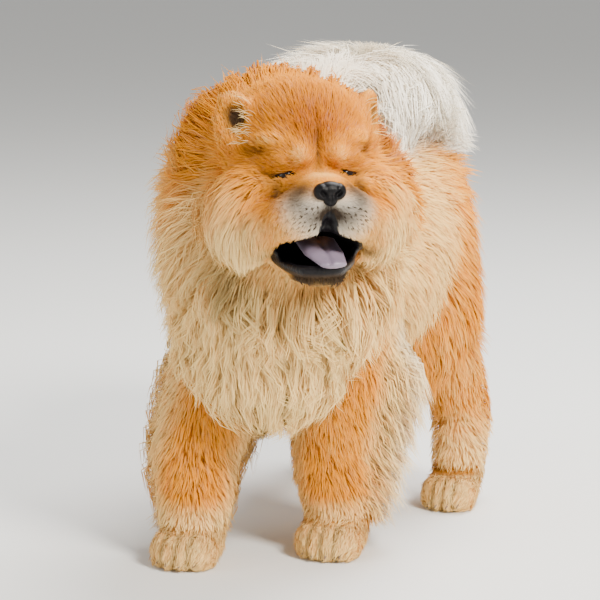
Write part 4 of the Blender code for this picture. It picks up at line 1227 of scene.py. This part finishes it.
def growEarHairs(weights, count):
    at, normal, patch = scatter(weights, count)
    sign = np.where(toLocal(at)[:, 0] > 0, 1.0, -1.0)
    rings = np.array([0.0] + wavy["rings"] + [1.0])
    length = draw.uniform(*earHair["long"], count)
    way = np.stack([draw.normal(*pair, count) for pair in zip(earHair["way"], earHair["stray"])], 1)
    way[:, 0] *= sign
    way = turnToWorld(unit(way))
    up = turnToWorld(np.tile((0.0, -0.3, 1.0), (count, 1)))
    bow = np.sin(np.pi * rings)[None, :, None] * up[:, None]
    bow = bow * (length * draw.uniform(*earHair["bow"], count))[:, None, None]
    path = at[:, None] + way[:, None] * (length[:, None] * rings[None])[:, :, None] + bow
    path[:, 0] -= normal * 0.001
    marks = [np.full(count, earHair["mark"])] * 2 + [draw.uniform(0, earHair["darkest"], count)]
    return {
        "normal": normal, "patch": patch, "path": path, "across": np.repeat(up[:, None], len(rings), 1),
        "keep": np.ones(count, bool), "marks": marks, "rings": rings, "vary": draw.random(count),
    }


earEdge = sum(earCup(faceMiddles, side) for side in ("earLeft", "earRight"))
innerEdge = (earEdge > 0.05) & (earEdge < 0.6) & (np.abs(faceLocal[:, 0]) < 0.076) & (faceLocal[:, 2] < 0.074)
hairs = growEarHairs(maskOf("earLeft", "earRight", "head") * innerEdge, earHair["tufts"])
made.append((buildCoat("earHairs", hairs, wavy, earHair["width"]), "cream_coat"))
print("coat grown")

# the eyes
eyeLook = {"Base Color": (0.01, 0.005, 0.003), "Roughness": 0.1, "Specular IOR Level": 0.4}
eyeMaterial = newMaterial("eyeGloss", eyeLook)[0]
for name, sign in (("eyeLeft", 1), ("eyeRight", -1)):
    eye = addBall(np.array(eyeAt) * (sign, 1, 1), [face["eyeRadius"]] * 3, headPlace, 32, 20)
    eye.name = name
    applyPlace(eye)
    bpy.ops.object.shade_smooth()
    eye.data.materials.append(eyeMaterial)
    made.append((eye, "dark_eye"))

# the nose: balls, from its middle, with two slanting nostrils and a furrow
nosePiece = {
    "balls": [
        ((0, 0.004, 0.002), (0.015, 0.011, 0.011)),
        ((0, 0.002, -0.008), (0.0085, 0.0085, 0.008)),
        ((0.0095, 0.003, 0.001), (0.0092, 0.0105, 0.0098)),
        ((-0.0095, 0.003, 0.001), (0.0092, 0.0105, 0.0098)),
    ],
    "voxel": 0.0009, "rounds": 4, "nostrilAt": (0.009, -0.0012), "nostril": (0.0046, 0.0026), "slant": -35.0,
    "nostrilDeep": 0.0055, "furrow": 0.0012, "furrowDeep": 0.0016, "pebbles": 900.0,
}
noseLook = {"Base Color": (0.004, 0.0035, 0.004), "Roughness": 0.32, "Specular IOR Level": 0.14}
nose = joinAll([
    addBall(np.array(noseAt) + at, radii, headPlace, 32, 20) for at, radii in nosePiece["balls"]
], "noseLeather")
melt(nose, nosePiece["voxel"], nosePiece["rounds"])
local = toLocal(pointsOf(nose))
for sign in (1, -1):
    dx = local[:, 0] - (noseAt[0] + sign * nosePiece["nostrilAt"][0])
    dz = local[:, 2] - (noseAt[2] + nosePiece["nostrilAt"][1])
    along, across = (np.abs(part / half) ** 3 for part, half in zip(
        slanted(dx, dz, nosePiece["slant"] * sign), nosePiece["nostril"]))
    local[:, 1] += nosePiece["nostrilDeep"] * np.exp(-along - across) * (local[:, 1] < noseAt[1] + 0.002)
furrow = np.exp(-((local[:, 0] / nosePiece["furrow"]) ** 2))
local[:, 1] += nosePiece["furrowDeep"] * furrow * ramp(local[:, 2], noseAt[2] + 0.002, noseAt[2] - 0.006)
setPoints(nose, toWorld(local))
bpy.ops.object.shade_smooth()
noseMaterial, tree, sockets = newMaterial("noseLeather", noseLook)
plug(tree, sockets["Normal"], relief(tree, pebbles(tree, nosePiece["pebbles"]), 0.35, 0.0006))
nose.data.materials.append(noseMaterial)
made.append((nose, "black_leather"))

# the tongue, over the lower lip and with a furrow along its middle
tonguePiece = {
    "stations": [
        ((0.0, -0.045, -0.084), (0.024, 0.02, 0.006)),
        ((0.001, -0.086, -0.098), (0.023, 0.02, 0.005)),
        ((0.005, -0.116, -0.11), (0.016, 0.009, 0.005)),
    ],
    "voxel": 0.0014, "rounds": 5, "furrowAt": 0.001, "furrow": 0.0028, "furrowDeep": 0.0028,
    "dark": (0.17, 0.13, 0.19), "pale": (0.28, 0.22, 0.29), "patches": 60.0, "grain": 900.0,
}
tongue = joinAll([
    addBall(centre, radii, headPlace, 24, 16) for centre, radii in fill(tonguePiece["stations"], 8)
], "tongueBlue")
melt(tongue, tonguePiece["voxel"], tonguePiece["rounds"])
local = toLocal(pointsOf(tongue))
furrow = np.exp(-((local[:, 0] - tonguePiece["furrowAt"]) / tonguePiece["furrow"]) ** 2)
local[:, 2] -= tonguePiece["furrowDeep"] * furrow * (turnToLocal(normalsOf(tongue))[:, 2] > 0)
setPoints(tongue, toWorld(local))
bpy.ops.object.shade_smooth()
tongueMaterial, tree, sockets = newMaterial("tongueBlue", {"Roughness": 0.42, "Specular IOR Level": 0.5})
patches = noise(tree, tonguePiece["patches"], 3.0)
plug(tree, sockets["Base Color"], mixColour(tree, patches, tonguePiece["dark"], tonguePiece["pale"]))
plug(tree, sockets["Normal"], relief(tree, noise(tree, tonguePiece["grain"], 1.0), 0.4, 0.0006))
tongue.data.materials.append(tongueMaterial)
made.append((tongue, "blue_tongue"))

# a claw at the front of each toe
claw = {
    "thick": 0.0026, "tip": 0.0007, "long": 0.011, "dip": 25.0, "ahead": 0.22, "out": 0.004, "high": 0.01,
}
clawLook = {"Base Color": (0.2, 0.13, 0.08), "Roughness": 0.45, "Specular IOR Level": 0.4}
clawParts = []
for name, (x, y) in feet.items():
    width, length = pawSize[name[:4]]
    for across, ahead in toes:
        bpy.ops.mesh.primitive_cone_add(
            vertices=12, radius1=claw["thick"], radius2=claw["tip"], depth=claw["long"],
            location=(x + across * width, y - (ahead + claw["ahead"]) * length - claw["out"], claw["high"]),
            rotation=(math.radians(90 + claw["dip"]), 0, 0),
        )
        clawParts.append(bpy.context.object)
claws = joinAll(clawParts, "claws")
bpy.ops.object.shade_smooth()
claws.data.materials.append(newMaterial("clawHorn", clawLook)[0])
made.append((claws, None))
print("eyes, nose, tongue and claws made")


# the skin that lies deep in the coat is thinned
def deepInCoat(points):
    return (np.linalg.norm(toLocal(points), axis=1) > 0.17) & (points[:, 2] > 0.075)


editWhere(skin, deepInCoat, bpy.ops.mesh.decimate, ratio=skinMesh["thin"])
print("skin: triangles", sum(len(polygon.vertices) - 2 for polygon in skin.data.polygons))

# everything goes to the frame's place
made.append((skin, "golden_coat"))
for piece, slot in made:
    piece.data.transform(Matrix.Translation(offset))
    piece.data.update()
    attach(piece, "root")
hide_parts("torso", "neck", "head", "lower_jaw", "tail", "ear_left", "ear_right",
            "foreleg_left", "foreleg_right", "thigh_left", "thigh_right", "shank_left", "shank_right",
            "front_paw_left", "front_paw_right", "hind_paw_left", "hind_paw_right")
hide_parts("eye_left")
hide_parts("eye_right")
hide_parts("nose")
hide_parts("tongue")

print("pieces in place")
